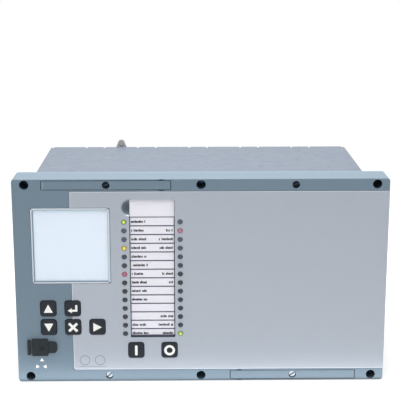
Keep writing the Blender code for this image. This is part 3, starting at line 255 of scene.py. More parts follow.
def build_mottle():
    """Slow changes of tone and gloss over a surface, such as handling leaves on any finish."""
    group, given, leave = new_group(
        "soft_mottle",
        {"Colour": GREY, "Scale": 40.0, "Amount": 0.06, "Gloss": 0.45, "Gloss Change": 0.1},
        ["Colour", "Roughness"],
    )
    cloud = add_node(group, "TexNoise", object_place(group), scale=given["Scale"], detail=4.0, roughness=0.55)
    centred = add_node(group, "Math", cloud, 0.5, operation="SUBTRACT")
    tone = add_node(group, "Math", centred, given["Amount"], 1.0, operation="MULTIPLY_ADD")
    put(leave, "Colour", toned(group, given["Colour"], tone))
    gloss = add_node(
        group, "Math", centred, given["Gloss Change"], given["Gloss"],
        operation="MULTIPLY_ADD", use_clamp=True,
    )
    put(leave, "Roughness", gloss)


def build_spangle():
    """The frosty crystals of hot-dipped zinc: cells of uneven tone and gloss, over rolling streaks."""
    group, given, leave = new_group(
        "zinc_spangle", {"Colour": GREY, "Cells": 140.0, "Amount": 0.12}, ["Colour", "Roughness", "Height"]
    )
    place = object_place(group)
    bend = add_node(group, "TexNoise", place, scale=180.0, detail=3.0)
    wavy = (0.006, 0.006, 0.006)
    bent = add_node(group, "VectorMath", bend.outputs["Color"], wavy, place, operation="MULTIPLY_ADD")
    cells = add_node(group, "TexVoronoi", bent, scale=given["Cells"], feature="F1")
    grey = add_node(group, "SeparateColor", cells.outputs["Color"])
    drawn_out = add_node(group, "Mapping", place, scale=(14.0, 90.0, 90.0))
    rolled = add_node(group, "TexNoise", drawn_out, scale=1.0, detail=5.0, roughness=0.6)
    both = add_node(group, "Math", grey, rolled, operation="ADD")
    centred = add_node(group, "Math", both, 1.0, operation="SUBTRACT")
    tone = add_node(group, "Math", centred, given["Amount"], 1.0, operation="MULTIPLY_ADD")
    put(leave, "Colour", toned(group, given["Colour"], tone))
    put(leave, "Roughness", add_node(group, "MapRange", grey.outputs[1], to_min=0.42, to_max=0.6))
    put(leave, "Height", rolled)


def build_tone_in_box():
    """Makes a colour deeper or brighter inside a box, such as painted shade in a recess or a painted highlight
    along an edge.
    """
    group, given, leave = new_group(
        "tone_in_box",
        {"Colour": GREY, "Low": (0.0, 0.0, 0.0), "High": (1.0, 1.0, 1.0), "Softness": 0.0003, "Tone": 0.5},
        ["Colour"],
    )
    place = object_place(group)
    above = add_node(group, "VectorMath", place, given["Low"], operation="SUBTRACT")
    below = add_node(group, "VectorMath", given["High"], place, operation="SUBTRACT")
    nearest = add_node(group, "VectorMath", above, below, operation="MINIMUM")
    across, along, up = add_node(group, "SeparateXYZ", nearest).outputs
    least = add_node(group, "Math", across, along, operation="MINIMUM")
    least = add_node(group, "Math", least, up, operation="MINIMUM")
    inside = add_node(group, "MapRange", least, from_max=given["Softness"], to_min=1.0, to_max=given["Tone"])
    put(leave, "Colour", toned(group, given["Colour"], inside))


def build_effects():
    """Builds the shared effects, once."""
    if "fine_grain" not in bpy.data.node_groups:
        build_grain()
        build_mottle()
        build_spangle()
        build_tone_in_box()


def place_group(tree, name, **values):
    """A shared effect placed in a material, with its own values."""
    node = tree.nodes.new("ShaderNodeGroup")
    node.node_tree = bpy.data.node_groups[name]
    return fill(node, values)


def tone_box(material, low, high, tone, softness=0.3 * MM):
    """Deepens or brightens a material's colour inside a box."""
    tree = material.node_tree
    shader = tree.nodes["Principled BSDF"]
    before = shader.inputs["Base Color"].links[0].from_socket
    box = place_group(tree, "tone_in_box", colour=before, low=low, high=high, tone=tone, softness=softness)
    put(shader, "Base Color", box)


# Finishes


def new_material(name):
    """A new material, its nodes and its shader."""
    made = bpy.data.materials.new(name)
    made.use_nodes = True
    return made, made.node_tree, made.node_tree.nodes["Principled BSDF"]


def finish(name, colour, surface, relief, bump, metallic=0.0, specular=0.5):
    """A mottled and grained material, or one with the zinc's spangle where no grain is given."""
    made, tree, shader = new_material(name)
    face = place_group(tree, "soft_mottle" if relief else "zinc_spangle", colour=(*colour, 1.0), **surface)
    put(shader, "Base Color", face.outputs["Colour"])
    put(shader, "Roughness", face.outputs["Roughness"])
    put(shader, "Metallic", metallic)
    put(shader, "Specular IOR Level", specular)
    height = (place_group(tree, "fine_grain", **relief) if relief else face).outputs["Height"]
    put(shader, "Normal", add_node(tree, "Bump", height=height, **bump))
    return made


def moulded(
    name, colour, gloss=0.45, grain=2600.0, depth=0.00002, tone=0.05, metallic=0.0, swell=0.2, specular=0.5
):
    """A moulded or lacquered finish: mottled colour and gloss, and a fine grain."""
    surface = {"scale": 45.0, "amount": tone, "gloss": gloss, "gloss_change": 0.12}
    relief = {"scale": grain, "swell": swell}
    return finish(name, colour, surface, relief, {"distance": depth, "strength": 0.6}, metallic, specular)


def printed(name, colour, gloss=0.5, grain=4000.0, tone=0.05, metallic=0.0):
    """Ink or a smooth edge, with hardly any grain."""
    return moulded(name, colour, gloss, grain, PRINT_GRAIN_DEPTH, tone, metallic)


def galvanised(name, colour):
    """Hot-dipped sheet with its spangle."""
    surface = {"cells": 160.0, "amount": 0.08}
    return finish(name, colour, surface, None, {"distance": 0.00006, "strength": 0.5}, metallic=0.3)


def turned_metal(name, colour, gloss=0.32):
    """Plated screws and small turned parts: bright metal with fine tool marks."""
    surface = {"scale": 400.0, "amount": 0.2, "gloss": gloss, "gloss_change": 0.2}
    return finish(name, colour, surface, {"scale": 1800.0, "swell": 0.4}, {"distance": 0.00003}, metallic=1.0)


def lamp_finish(name, core, rim, centre, strength):
    """A lens that glows: bright at its middle and deeper coloured at its rim."""
    made, tree, shader = new_material(name)
    centred = add_node(tree, "VectorMath", object_place(tree), centre, operation="SUBTRACT")
    flat = add_node(tree, "VectorMath", centred, (1.0, 0.0, 1.0), operation="MULTIPLY")
    reach = add_node(tree, "VectorMath", flat, operation="LENGTH").outputs["Value"]
    fade = {"from_min": 0.3 * MM, "from_max": 1.5 * MM, "interpolation_type": "SMOOTHSTEP"}
    mix = add_node(tree, "Mix", add_node(tree, "MapRange", reach, **fade), data_type="RGBA")
    put(mix, 6, (*core, 1.0))
    put(mix, 7, (*rim, 1.0))
    put(shader, "Base Color", mix.outputs[2])
    put(shader, "Emission Color", mix.outputs[2])
    put(shader, "Emission Strength", strength)
    put(shader, "Roughness", 0.3)
    return made


def dress(material, *nodes):
    """Gives CAD nodes a finish."""
    for name in nodes:
        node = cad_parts[name]
        if not node.material_slots:
            raise RuntimeError(f"{name} has no material slot")
        for held in node.material_slots:
            held.material = material


# Modelling


def active():
    return bpy.context.view_layer.objects.active


def select(*pieces):
    """Selects these pieces and nothing else, and makes the first one active."""
    bpy.ops.object.select_all(action="DESELECT")
    for piece in pieces:
        piece.select_set(True)
    if pieces:
        bpy.context.view_layer.objects.active = pieces[0]


def apply_place():
    bpy.ops.object.transform_apply(location=True, rotation=True, scale=True)


def settle(piece, name, material, body=ROOT_BODY, smooth=35):
    """Applies a piece's place, names it and lets it ride."""
    select(piece)
    apply_place()
    if smooth:
        bpy.ops.object.shade_smooth_by_angle(angle=math.radians(smooth))
    piece.name = piece.data.name = name
    piece.data.materials.clear()
    piece.data.materials.append(material)
    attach(piece, body)


def copied(piece):
    """A copy with a mesh of its own."""
    copy = piece.copy()
    copy.data = piece.data.copy()
    bpy.context.scene.collection.objects.link(copy)
    return copy


def joined(parts):
    """One piece made of several, each at its place."""
    select(*parts)
    apply_place()
    bpy.ops.object.join()
    return active()


def combine(piece, other, operation):
    """Unites a piece with another or cuts the other out of it, and removes the other."""
    step = piece.modifiers.new("with", "BOOLEAN")
    step.operation = operation
    step.object = other
    select(piece)
    bpy.ops.object.modifier_apply(modifier=step.name)
    bpy.data.objects.remove(other)


def disc(sides, radius, deep, back=0.0, facing=1):
    """A flat disc that faces the front, or with -1 the rear, at the origin or some way back from it."""
    select()
    bpy.ops.mesh.primitive_cylinder_add(
        vertices=sides, radius=radius, depth=deep,
        location=(0, back, 0), rotation=(facing * QUARTER_TURN, 0, 0),
    )
    apply_place()
    return active()


def edit_all():
    """Opens the active piece in edit mode, with all of it selected."""
    bpy.ops.object.mode_set(mode="EDIT")
    bpy.ops.mesh.select_all(action="SELECT")


def end_edit():
    bpy.ops.object.mode_set(mode="OBJECT")


def edit_chosen(kind, chosen):
    """Opens the active piece in edit mode, with only the edges or faces selected that a test picks."""
    mesh = active().data
    edit_all()
    bpy.ops.mesh.select_mode(type=kind)
    bpy.ops.mesh.select_all(action="DESELECT")
    end_edit()
    for item in mesh.edges if kind == "EDGE" else mesh.polygons:
        item.select = chosen(item)
    bpy.ops.object.mode_set(mode="EDIT")


def bevel_edges(width, segments, chosen):
    """Bevels the active piece's edges whose two ends a test picks."""
    points = active().data.vertices
    edit_chosen("EDGE", lambda edge: chosen(*(points[index].co for index in edge.vertices)))
    bpy.ops.mesh.bevel(offset=width, segments=segments, profile=0.5)
    end_edit()


def soften(width, deep):
    """Rounds the upright corners of the active flat piece."""
    bevel_edges(width, 3, lambda first, second: abs(first.y - second.y) > 0.5 * deep)


def bars(plane, relief, rectangles):
    """One mesh of flat bars on a plane that faces the front, each given by its left, foot, right and top."""
    select()
    bpy.ops.mesh.primitive_cube_add(size=1.0, location=(0, 0, 0))
    edit_all()
    bpy.ops.mesh.delete(type="VERT")
    for left, foot, right, top in rectangles:
        bpy.ops.mesh.select_all(action="DESELECT")
        centre = ((left + right) / 2, plane, (foot + top) / 2)
        bpy.ops.mesh.primitive_cube_add(size=1.0, location=centre, scale=(right - left, relief, top - foot))
    bpy.ops.mesh.select_all(action="DESELECT")
    end_edit()
    return active()


def ring(radius, stroke, deep):
    """A flat ring at the origin that faces the front, from a disc whose faces are inset and bridged."""
    piece = disc(48, radius, deep)
    edit_chosen("FACE", lambda face: abs(face.normal.y) > 0.9)
    bpy.ops.mesh.inset(thickness=stroke)
    bpy.ops.mesh.bridge_edge_loops()
    bpy.ops.mesh.select_all(action="SELECT")
    bpy.ops.mesh.normals_make_consistent(inside=False)
    end_edit()
    return piece


# Pieces


class RELAY_OT_housing(bpy.types.Operator):
    """Finishes the moulding, strips, display frame and plate, and adds edge lines, gaps, scoops and rings; the
    moulding's tones, the edge lines, gaps and scoops are painted shade and painted highlights
    """

    bl_idname = "relay.housing"
    bl_label = "Front Housing"

    plate_line = 0.45 * MM
    gap_width = 0.5 * MM
    gap_end_width = 0.85 * MM
    scoop_radius = 4.95 * MM
    scoop_stroke = 1.7 * MM
    scoop_from_end = 7.9 * MM
    ring_places = ((9.4, 8.4), (22.3, 8.4))
    ring_stroke = 0.55 * MM
    ring_line = (4.15, 2.7), (27.65, 3.1)
    # Painted shade in the recesses, and painted highlights on top, along the rear edge and at the left end of
    # the upper strip
    recess_tone, top_tone, rear_tone, end_tone = 0.35, 1.1, 1.25, 1.22

    def execute(self, context):
        colours, sizes, _ = settings()
        build_effects()
        self.moulding(colours)
        self.frame_lines(colours)
        shade = moulded("strip_gap_shade", screen(44, 55, 64), gloss=0.6)
        self.strip_gaps(shade)
        self.scoop_edges(shade)
        self.plate(colours)
        self.plate_rings(colours, sizes)
        return {"FINISHED"}

    def moulding(self, colours):
        """The moulding has painted shade in its recesses, and painted highlights on top, at its rear edge and
        at one end.
        """
        front = moulded("front_moulding", colours.housing, gloss=0.42)
        dress(front, "fascia_frame", "strip_lower", "strip_upper")
        low, high = corners("fascia_frame")
        rim = mm(0.45, 0, 0.45)
        recess_floor = Vector((high.x, low.y + 14 * MM, high.z))
        # Painted shade: darker the deeper a surface lies in a recess
        tone_box(front, low + rim + mm(0, 0.1, 0), recess_floor - rim, self.recess_tone, softness=2.4 * MM)
        beyond = high + mm(1, 1, 1)
        # Painted highlights on the flange's top and along its rear edge
        tone_box(front, (low.x - 1.0 * MM, low.y, high.z - 0.4 * MM), beyond, self.top_tone)
        tone_box(front, (low.x, high.y - 3.4 * MM, high.z - 1.0 * MM), beyond, self.rear_tone)
        # Painted highlight at the left end of the upper strip
        start, end = corners("strip_upper")
        tone_box(front, start - mm(1, 1, 0), (start.x + 2.4 * MM, end.y, end.z), self.end_tone)

    def frame_lines(self, colours):
        """The display frame's light outer edge, a painted highlight, and the deeper line inside it at its left
        and foot, painted shade.
        """
        dress(moulded("satin_frame", colours.bezel, gloss=0.35, tone=0.03, metallic=0.2), "display_bezel")
        low, high = corners("display_bezel")
        wide = 1.0 * MM
        end = high.x - 0.6 * MM
        outer = [
            (low.x, low.z, low.x + wide, high.z),
            (low.x, low.z, end, low.z + wide),
            (low.x, high.z - wide, end, high.z),
            (end - wide, low.z, end, high.z),
        ]
        wide = 0.75 * MM
        start = low + mm(1.25, 0, 1.25)
        inner = [
            (start.x, start.z, start.x + wide, high.z - 1.85 * MM),
            (start.x, start.z, high.x - 2.0 * MM, start.z + wide),
        ]
        # The light line is a painted highlight and the deep line is painted shade
        for name, colour, lines in (("light", colours.bright_edge, outer), ("deep", colours.housing, inner)):
            ink = printed(f"display_{name}_edge", colour, gloss=0.4, grain=5000.0)
            settle(bars(low.y, LINE_RELIEF, lines), f"display_{name}_line", ink, smooth=0)

    def strip_gaps(self, shade):
        """Painted shade: dark bars along the gaps that frame the two strips."""
        gaps = []
        for name in ("strip_upper", "strip_lower"):
            low, high = corners(name)
            half = self.gap_width / 2
            gaps += [(low.x, height - half, high.x, height + half) for height in (low.z, high.z)]
            half = self.gap_end_width / 2
            gaps += [(across - half, low.z, across + half, high.z) for across in (low.x, high.x)]
        settle(bars(low.y, GAP_RELIEF, gaps), "strip_gaps", shade, smooth=0)

    def scoop_edges(self, shade):
        """Painted shade in the two finger scoops: dark crescents above and below their strips."""
        parts = []
        for name in ("strip_upper", "strip_lower"):
            low, high = corners(name)
            across = high.x - self.scoop_from_end if name == "strip_upper" else low.x + self.scoop_from_end
            half = (high.z - low.z) / 2 + 0.15 * MM
            for side in (-1, 1):
                part = ring(self.scoop_radius, self.scoop_stroke, GAP_RELIEF)
                edit_all()
                bpy.ops.mesh.bisect(
                    plane_co=(0, 0, side * half), plane_no=(0, 0, side), use_fill=True, clear_inner=True
                )
                end_edit()
                part.location = (across, low.y, (low.z + high.z) / 2)
                parts.append(part)
        settle(joined(parts), "scoop_edges", shade, smooth=0)

    def plate(self, colours):
        """The silver plate, and the fine bright lines where its cut edge catches the light."""
        silver = moulded(
            "silver_lacquer", colours.silver, gloss=0.36, grain=5200.0, depth=0.000012,
            metallic=0.35, swell=0.5,
        )
        dress(silver, "front_plate")
        low, high = corners("front_plate")
        display_low, display_high = corners("display_bezel")
        wide = self.plate_line
        lines = [
            (low.x, low.z, low.x + wide, display_low.z),
            (low.x, display_high.z, low.x + wide, high.z),
            (low.x, low.z, high.x, low.z + wide),
            (low.x, high.z - wide, high.x, high.z),
        ]
        edge = printed("bright_plate_edge", colours.bright_edge, gloss=0.35, grain=5000.0, metallic=0.3)
        settle(bars(low.y, LINE_RELIEF, lines), "plate_edge", edge, smooth=0)

    def plate_rings(self, colours, sizes):
        """Two plain grey rings over a fine line, low on the plate."""
        low = corners("front_plate")[0]
        relief = 2 * sizes.ink_relief
        parts = []
        for across, up in self.ring_places:
            parts.append(ring(sizes.faint_ring, self.ring_stroke, relief))
            parts[-1].location = low + mm(across, 0, up)
        foot, top = (low + mm(across, 0, up) for across, up in self.ring_line)
        parts.append(bars(low.y, relief, [(foot.x, foot.z, top.x, top.z)]))
        settle(joined(parts), "plate_rings", printed("faint_ink", colours.faint))


class RELAY_OT_display(bpy.types.Operator):
    """Finishes the display's window and module"""

    bl_idname = "relay.display"
    bl_label = "Display"

    # Painted light: a faint glow that makes the blank display brighter
    window_glow = 0.06

    def execute(self, context):
        colours, _, _ = settings()
        window = moulded(
            "display_window_glass", colours.window, gloss=0.22, grain=9000.0, depth=0.000002, tone=0.015
        )
        shader = window.node_tree.nodes["Principled BSDF"]
        put(shader, "Emission Color", (*colours.window, 1.0))
        put(shader, "Emission Strength", self.window_glow)
        dress(window, "display_window")
        dress(turned_metal("display_tin", screen(190, 192, 194), 0.35), "lcd_module")
        return {"FINISHED"}


class RELAY_OT_keys(bpy.types.Operator):
    """Finishes the seven keys and puts a white sign on each"""

    bl_idname = "relay.keys"
    bl_label = "Keys and Signs"

    signs = ("up", "enter", "down", "cancel", "right", "close", "open")
    arrow_turns = {"up": 0, "down": 180, "right": 90}

    def execute(self, context):
        colours, sizes, _ = settings()
        dark = moulded("key_plastic", colours.key, grain=3000.0, tone=0.08, specular=0.2)
        dress(dark, *[f"key_{name}" for name in self.signs])
        self.white = printed("key_sign_ink", colours.sign, tone=0.02)
        self.deep = 2 * sizes.ink_relief
        for name, turn in self.arrow_turns.items():
            self.seat(name, self.triangle(sizes.arrow_width, sizes.arrow_height, turn))
        self.seat("cancel", *self.cross(sizes))
        self.seat("enter", *self.hooked_arrow(sizes))
        self.seat("close", self.block(sizes.sign_stroke, sizes.bar_height))
        self.seat("open", ring(sizes.ring_radius, sizes.sign_stroke * 0.95, self.deep))
        return {"FINISHED"}

    def seat(self, name, sign, *others):
        """Puts the parts of a sign, made about the origin, on the face of its key, and unites them."""
        centre = middle(f"key_{name}")
        face = Vector((centre.x, corners(f"key_{name}")[0].y, centre.z))
        for part in (sign, *others):
            part.location += face
        for other in others:
            combine(sign, other, "UNION")
        settle(sign, f"sign_{name}", self.white, f"{name}_button")

    def triangle(self, wide, tall, turn):
        """A flat arrowhead at the origin with soft corners, turned clockwise from upright."""
        piece = disc(3, wide * 0.6, self.deep)
        soften(wide * 0.06, self.deep)
        points = [point.co for point in piece.data.vertices]
        low, high = (Vector([end(point[axis] for point in points) for axis in range(3)]) for end in (min, max))
        size = high - low
        edit_all()
        bpy.ops.transform.translate(value=-(low + high) / 2)
        bpy.ops.transform.resize(value=(wide / size.x, 1, tall / size.z), center_override=(0, 0, 0))
        end_edit()
        piece.rotation_euler = (0, math.radians(turn), 0)
        return piece

    def block(self, wide, tall):
        """A flat bar at the origin with soft corners."""
        select()
        bpy.ops.mesh.primitive_cube_add(size=1.0, location=(0, 0, 0), scale=(wide, self.deep, tall))
        apply_place()
        soften(min(wide, tall) * 0.25, self.deep)
        return active()

    def cross(self, sizes):
        """Two strokes that cross at right angles."""
        length = sizes.cross_size * math.sqrt(2) - sizes.sign_stroke
        arms = [self.block(length, sizes.sign_stroke) for _ in range(2)]
        for arm, turn in zip(arms, (45, -45)):
            arm.rotation_euler = (0, math.radians(turn), 0)
        return arms

    def hooked_arrow(self, sizes):
        """A stroke down, a stroke to the left and the arrowhead at its end."""
        stroke = sizes.enter_stroke
        down = self.block(stroke, 5.9 * MM)
        down.location = mm(3.1, 0, 0.3)
        across = self.block(5.6 * MM, stroke)
        across.location = mm(1.2, 0, -1.75)
        head = self.triangle(4.3 * MM, 3.4 * MM, -90)
        head.location = mm(-2.4, 0, -1.75)
        return down, across, head


class RELAY_OT_card(bpy.types.Operator):
    """Prints the legend card: its lines, and rows of small marks between them; the heavy line at its foot and
    the fine lines down its sides are painted shade
    """

    bl_idname = "relay.card"
    bl_label = "Legend Card"

    # Each line of marks as its row, from the top down, and its length in millimetres
    left_marks = (
        (0, 12.0), (1, 10.5), (2, 12.6), (3, 12.4), (4, 12.6), (5, 13.6),
        (6, 9.6), (7, 12.8), (8, 12.6), (9, 12.8), (12, 11.6), (13, 13.6),
    )
    right_marks = ((1, 5.6), (2, 11.6), (3, 11.2), (6, 9.0), (7, 3.4), (11, 10.6), (12, 12.6), (13, 10.0))
    stroke_pitch = 1.02
    left_margin, right_margin = 1.0, 1.4
    low_share = 0.76
    drop = 0.1 * MM

    def execute(self, context):
        colours, sizes, _ = settings()
        paper = moulded("card_paper", colours.card, gloss=0.6, grain=1600.0, depth=0.00001, tone=0.03)
        dress(paper, "legend_card")
        self.relief = 2 * sizes.ink_relief
        self.rules(sizes, moulded("card_rules_and_shade", colours.rule, gloss=0.6, tone=0.1))
        self.marks(sizes, moulded("card_ink", colours.ink, gloss=0.6, tone=0.2))
        return {"FINISHED"}

    def rules(self, sizes, ink):
        """The printed lines between the rows, and the heavy line at the foot and the fine ones down both
        sides, which are painted shade of the card's pocket.
        """
        low, high = corners("legend_card")
        line, head_line, foot_shade, side_shade = 0.95 * MM, 0.75 * MM, 1.6 * MM, 0.5 * MM
        rules = []
        for row, height in enumerate(row_heights()):
            half = (line if row else head_line) / 2
            over = height + sizes.row_pitch / 2
            rules.append((low.x, over - half, high.x, over + half))
        # Painted shade along the foot and down both sides of the card
        rules.append((low.x, low.z, high.x, low.z + foot_shade))
        head = row_heights()[0] + sizes.row_pitch / 2
        for left in (low.x - 0.05 * MM, high.x - side_shade):
            rules.append((left, low.z, left + side_shade, head))
        settle(bars(low.y, self.relief, rules), "card_lines", ink, smooth=0)

    def marks(self, sizes, ink):
        """Rows of short upright strokes, with a gap here and there."""
        low, high = corners("legend_card")
        heights = row_heights()
        strokes = []
        step = 0
        for side, marks in (("left", self.left_marks), ("right", self.right_marks)):
            for row, length in marks:
                start = low.x + self.left_margin * MM
                if side == "right":
                    start = high.x - (self.right_margin + length) * MM
                count = max(3, round(length / self.stroke_pitch))
                foot = heights[row] - self.drop - sizes.mark_height / 2
                for stroke in range(count):
                    step += 1
                    if (step * 7 + row) % 11 == 0:
                        continue
                    tall = sizes.mark_height * (1.0 if (step * 5 + row) % 4 == 0 else self.low_share)
                    x = start + (stroke + 0.5) * length * MM / count
                    half = (0.66 + 0.16 * (step % 3)) / 2 * MM
                    strokes.append((x - half, foot, x + half, foot + tall))
        settle(bars(low.y, self.relief, strokes), "card_marks", ink, smooth=0)


class RELAY_OT_lamps(bpy.types.Operator):
    """Puts a domed lens before each lamp, and lights the ones that the picture shows lit"""

    bl_idname = "relay.lamps"
    bl_label = "Lamps"

    # For each lit lamp, by its column and its row from the top: the tint, its middle and its rim
    lit = {
        ("left", 0): ("green", screen(186, 206, 108), screen(98, 122, 32)),
        ("left", 3): ("yellow", screen(198, 192, 90), screen(150, 130, 42)),
        ("left", 6): ("red", screen(128, 98, 114), screen(126, 56, 78)),
        ("right", 1): ("red", screen(132, 110, 124), screen(130, 70, 90)),
        ("right", 13): ("green", screen(188, 204, 112), screen(102, 124, 38)),
    }
    glow = 0.75
    low_row, low_row_tone = 2, 0.28
    disc_depth = 0.4 * MM

    def execute(self, context):
        heights = row_heights()
        body = printed("lamp_body", screen(64, 70, 80), gloss=0.3, grain=5000.0, tone=0.1)
        dress(body, "lamp_guide_left", "lamp_guide_right")
        off = moulded("lens_off", screen(76, 82, 95), gloss=0.14, grain=6000.0, depth=0.000002, tone=0.15)
        # Painted shade: the unlit lenses get darker from the third row down
        shaded_rows = (1.0, 1.0, heights[self.low_row])
        tone_box(off, (-1.0, -1.0, -1.0), shaded_rows, self.low_row_tone, softness=30 * MM)
        lens = self.dome(settings()[1])
        for side in ("left", "right"):
            across = middle(f"lamp_guide_{side}").x
            for row, height in enumerate(heights):
                place = Vector((across, front_plane(), height))
                material = off
                if (side, row) in self.lit:
                    tint, core, rim = self.lit[side, row]
                    material = lamp_finish(f"lens_{tint}_{side}_{row + 1}", core, rim, place, self.glow)
                copy = copied(lens)
                copy.location = place
                settle(copy, f"lens_{side}_{row + 1}", material)
        bpy.data.objects.remove(lens)
        return {"FINISHED"}

    def dome(self, sizes):
        """A low dome, from a disc whose front is drawn in and forward in rings."""
        lens = disc(24, sizes.lens_radius, self.disc_depth)
        edit_chosen("FACE", lambda face: face.normal.y < -0.9)
        rise = sizes.lens_rise - self.disc_depth / 2
        done = 0.0
        for share in (0.2, 0.4, 0.6, 0.8, 0.93):
            height = rise * math.sqrt(1 - (1 - share) ** 2)
            bpy.ops.mesh.inset(thickness=sizes.lens_radius * 0.19)
            bpy.ops.transform.translate(value=(0, done - height, 0))
            done = height
        end_edit()
        return lens


class RELAY_OT_port(bpy.types.Operator):
    """Finishes the service port and its rubber cap, and prints the small marks below them"""

    bl_idname = "relay.port"
    bl_label = "Service Port"

    spot_place, spot_reach, spot_tone = mm(8.6, 0, -0.4), mm(2.6, 2.0, 2.2), 0.45
    mark_from_anchor = 9.9 * MM
    mark_height = 16.4 * MM
    mark_radius = 2.1 * MM
    mark_corner = 0.5 * MM
    marks = ((0.3, 3.0, 0), (-3.7, -2.8, -20), (3.0, -2.9, 25))

    def execute(self, context):
        colours, sizes, _ = settings()
        rubber = moulded(
            "cap_rubber", colours.rubber, gloss=0.6, grain=2200.0, depth=0.00004, tone=0.12, specular=0.2
        )
        low, high = corners("port_cap")
        spot = Vector((low.x, low.y, (low.z + high.z) / 2)) + self.spot_place
        tone_box(rubber, spot - self.spot_reach, spot + self.spot_reach, self.spot_tone, softness=1.0 * MM)
        dress(rubber, "port_cap", "port_cap_anchor")
        dress(turned_metal("port_shell", screen(190, 190, 192)), "service_port")
        self.mark(sizes, colours)
        return {"FINISHED"}

    def mark(self, sizes, colours):
        """Three small white triangles below the cap."""
        deep = 2 * sizes.ink_relief
        centre = Vector((middle("port_cap_anchor").x + self.mark_from_anchor, front_plane(), self.mark_height))
        parts = []
        for across, up, turn in self.marks:
            part = disc(3, self.mark_radius, deep)
            soften(self.mark_corner, deep)
            part.rotation_euler = (0, math.radians(turn), 0)
            part.location = centre + mm(across, 0, up)
            parts.append(part)
        settle(joined(parts), "port_mark", printed("port_mark_ink", colours.sign, tone=0.02))


class RELAY_OT_screws(bpy.types.Operator):
    """Finishes the panel screws and the cover screws, with painted shade and glints"""

    bl_idname = "relay.screws"
    bl_label = "Screws"

    def execute(self, context):
        black = turned_metal("black_screws", screen(50, 68, 84), 0.25)
        bright = turned_metal("bright_screws", screen(138, 144, 152), 0.3)
        # The dark cover screws are the silver ones painted dark: painted shade
        shaded = turned_metal("shaded_cover_screws", screen(27, 33, 40), 0.45)
        # Painted glints in the slots of the panel screws and of the dark cover screws, and painted shade in
        # the slots of the silver ones
        self.tone_slots(black, "panel_screw_1", "panel_screw_6", 1.6, 5.0)
        self.tone_slots(bright, "cover_screw_1", "cover_screw_4", 1.3, 0.2)
        self.tone_slots(shaded, "cover_screw_1", "cover_screw_4", 1.3, 8.0)
        dress(black, *[f"panel_screw_{number}" for number in range(1, 7)])
        dress(bright, "cover_screw_1", "cover_screw_2")
        dress(shaded, "cover_screw_3", "cover_screw_4")
        return {"FINISHED"}

    def tone_slots(self, finish, first, last, depth, tone):
        """Paints shade or glints into the screws' slots: makes them darker or lighter than their heads, down
        to a depth in millimetres.
        """
        low, high = corners(first)[0], corners(last)[1]
        start = low + mm(0, 0.5, 0)
        tone_box(finish, start, (max(-low.x, high.x), low.y + depth * MM, high.z), tone, softness=0.1 * MM)


class RELAY_OT_case(bpy.types.Operator):
    """Finishes the galvanised case, the rear plate, the earth terminal and the terminal blocks"""

    bl_idname = "relay.case"
    bl_label = "Case"

    rear_edge_tone = 0.68

    def execute(self, context):
        colours, _, _ = settings()
        sheet = galvanised("galvanised_sheet", colours.zinc)
        low, high = corners("case_shell")
        # Painted shade: the case is darker along the top of its rear edge
        tone_box(sheet, (low.x, high.y - 4.0 * MM, high.z - 1.0 * MM), high + mm(1, 1, 1), self.rear_edge_tone)
        dress(sheet, "case_shell", "rear_plate")
        dress(galvanised("bright_zinc", screen(186, 192, 200)), "earth_tab")
        dress(turned_metal("plated_brass", screen(206, 200, 182)), "earth_stud", "earth_nut")
        block = moulded(
            "terminal_moulding", colours.terminal, gloss=0.5, grain=1800.0, depth=0.00004, tone=0.1
        )
        dress(block, *[f"terminal_block_{number}" for number in range(1, 7)])
        return {"FINISHED"}


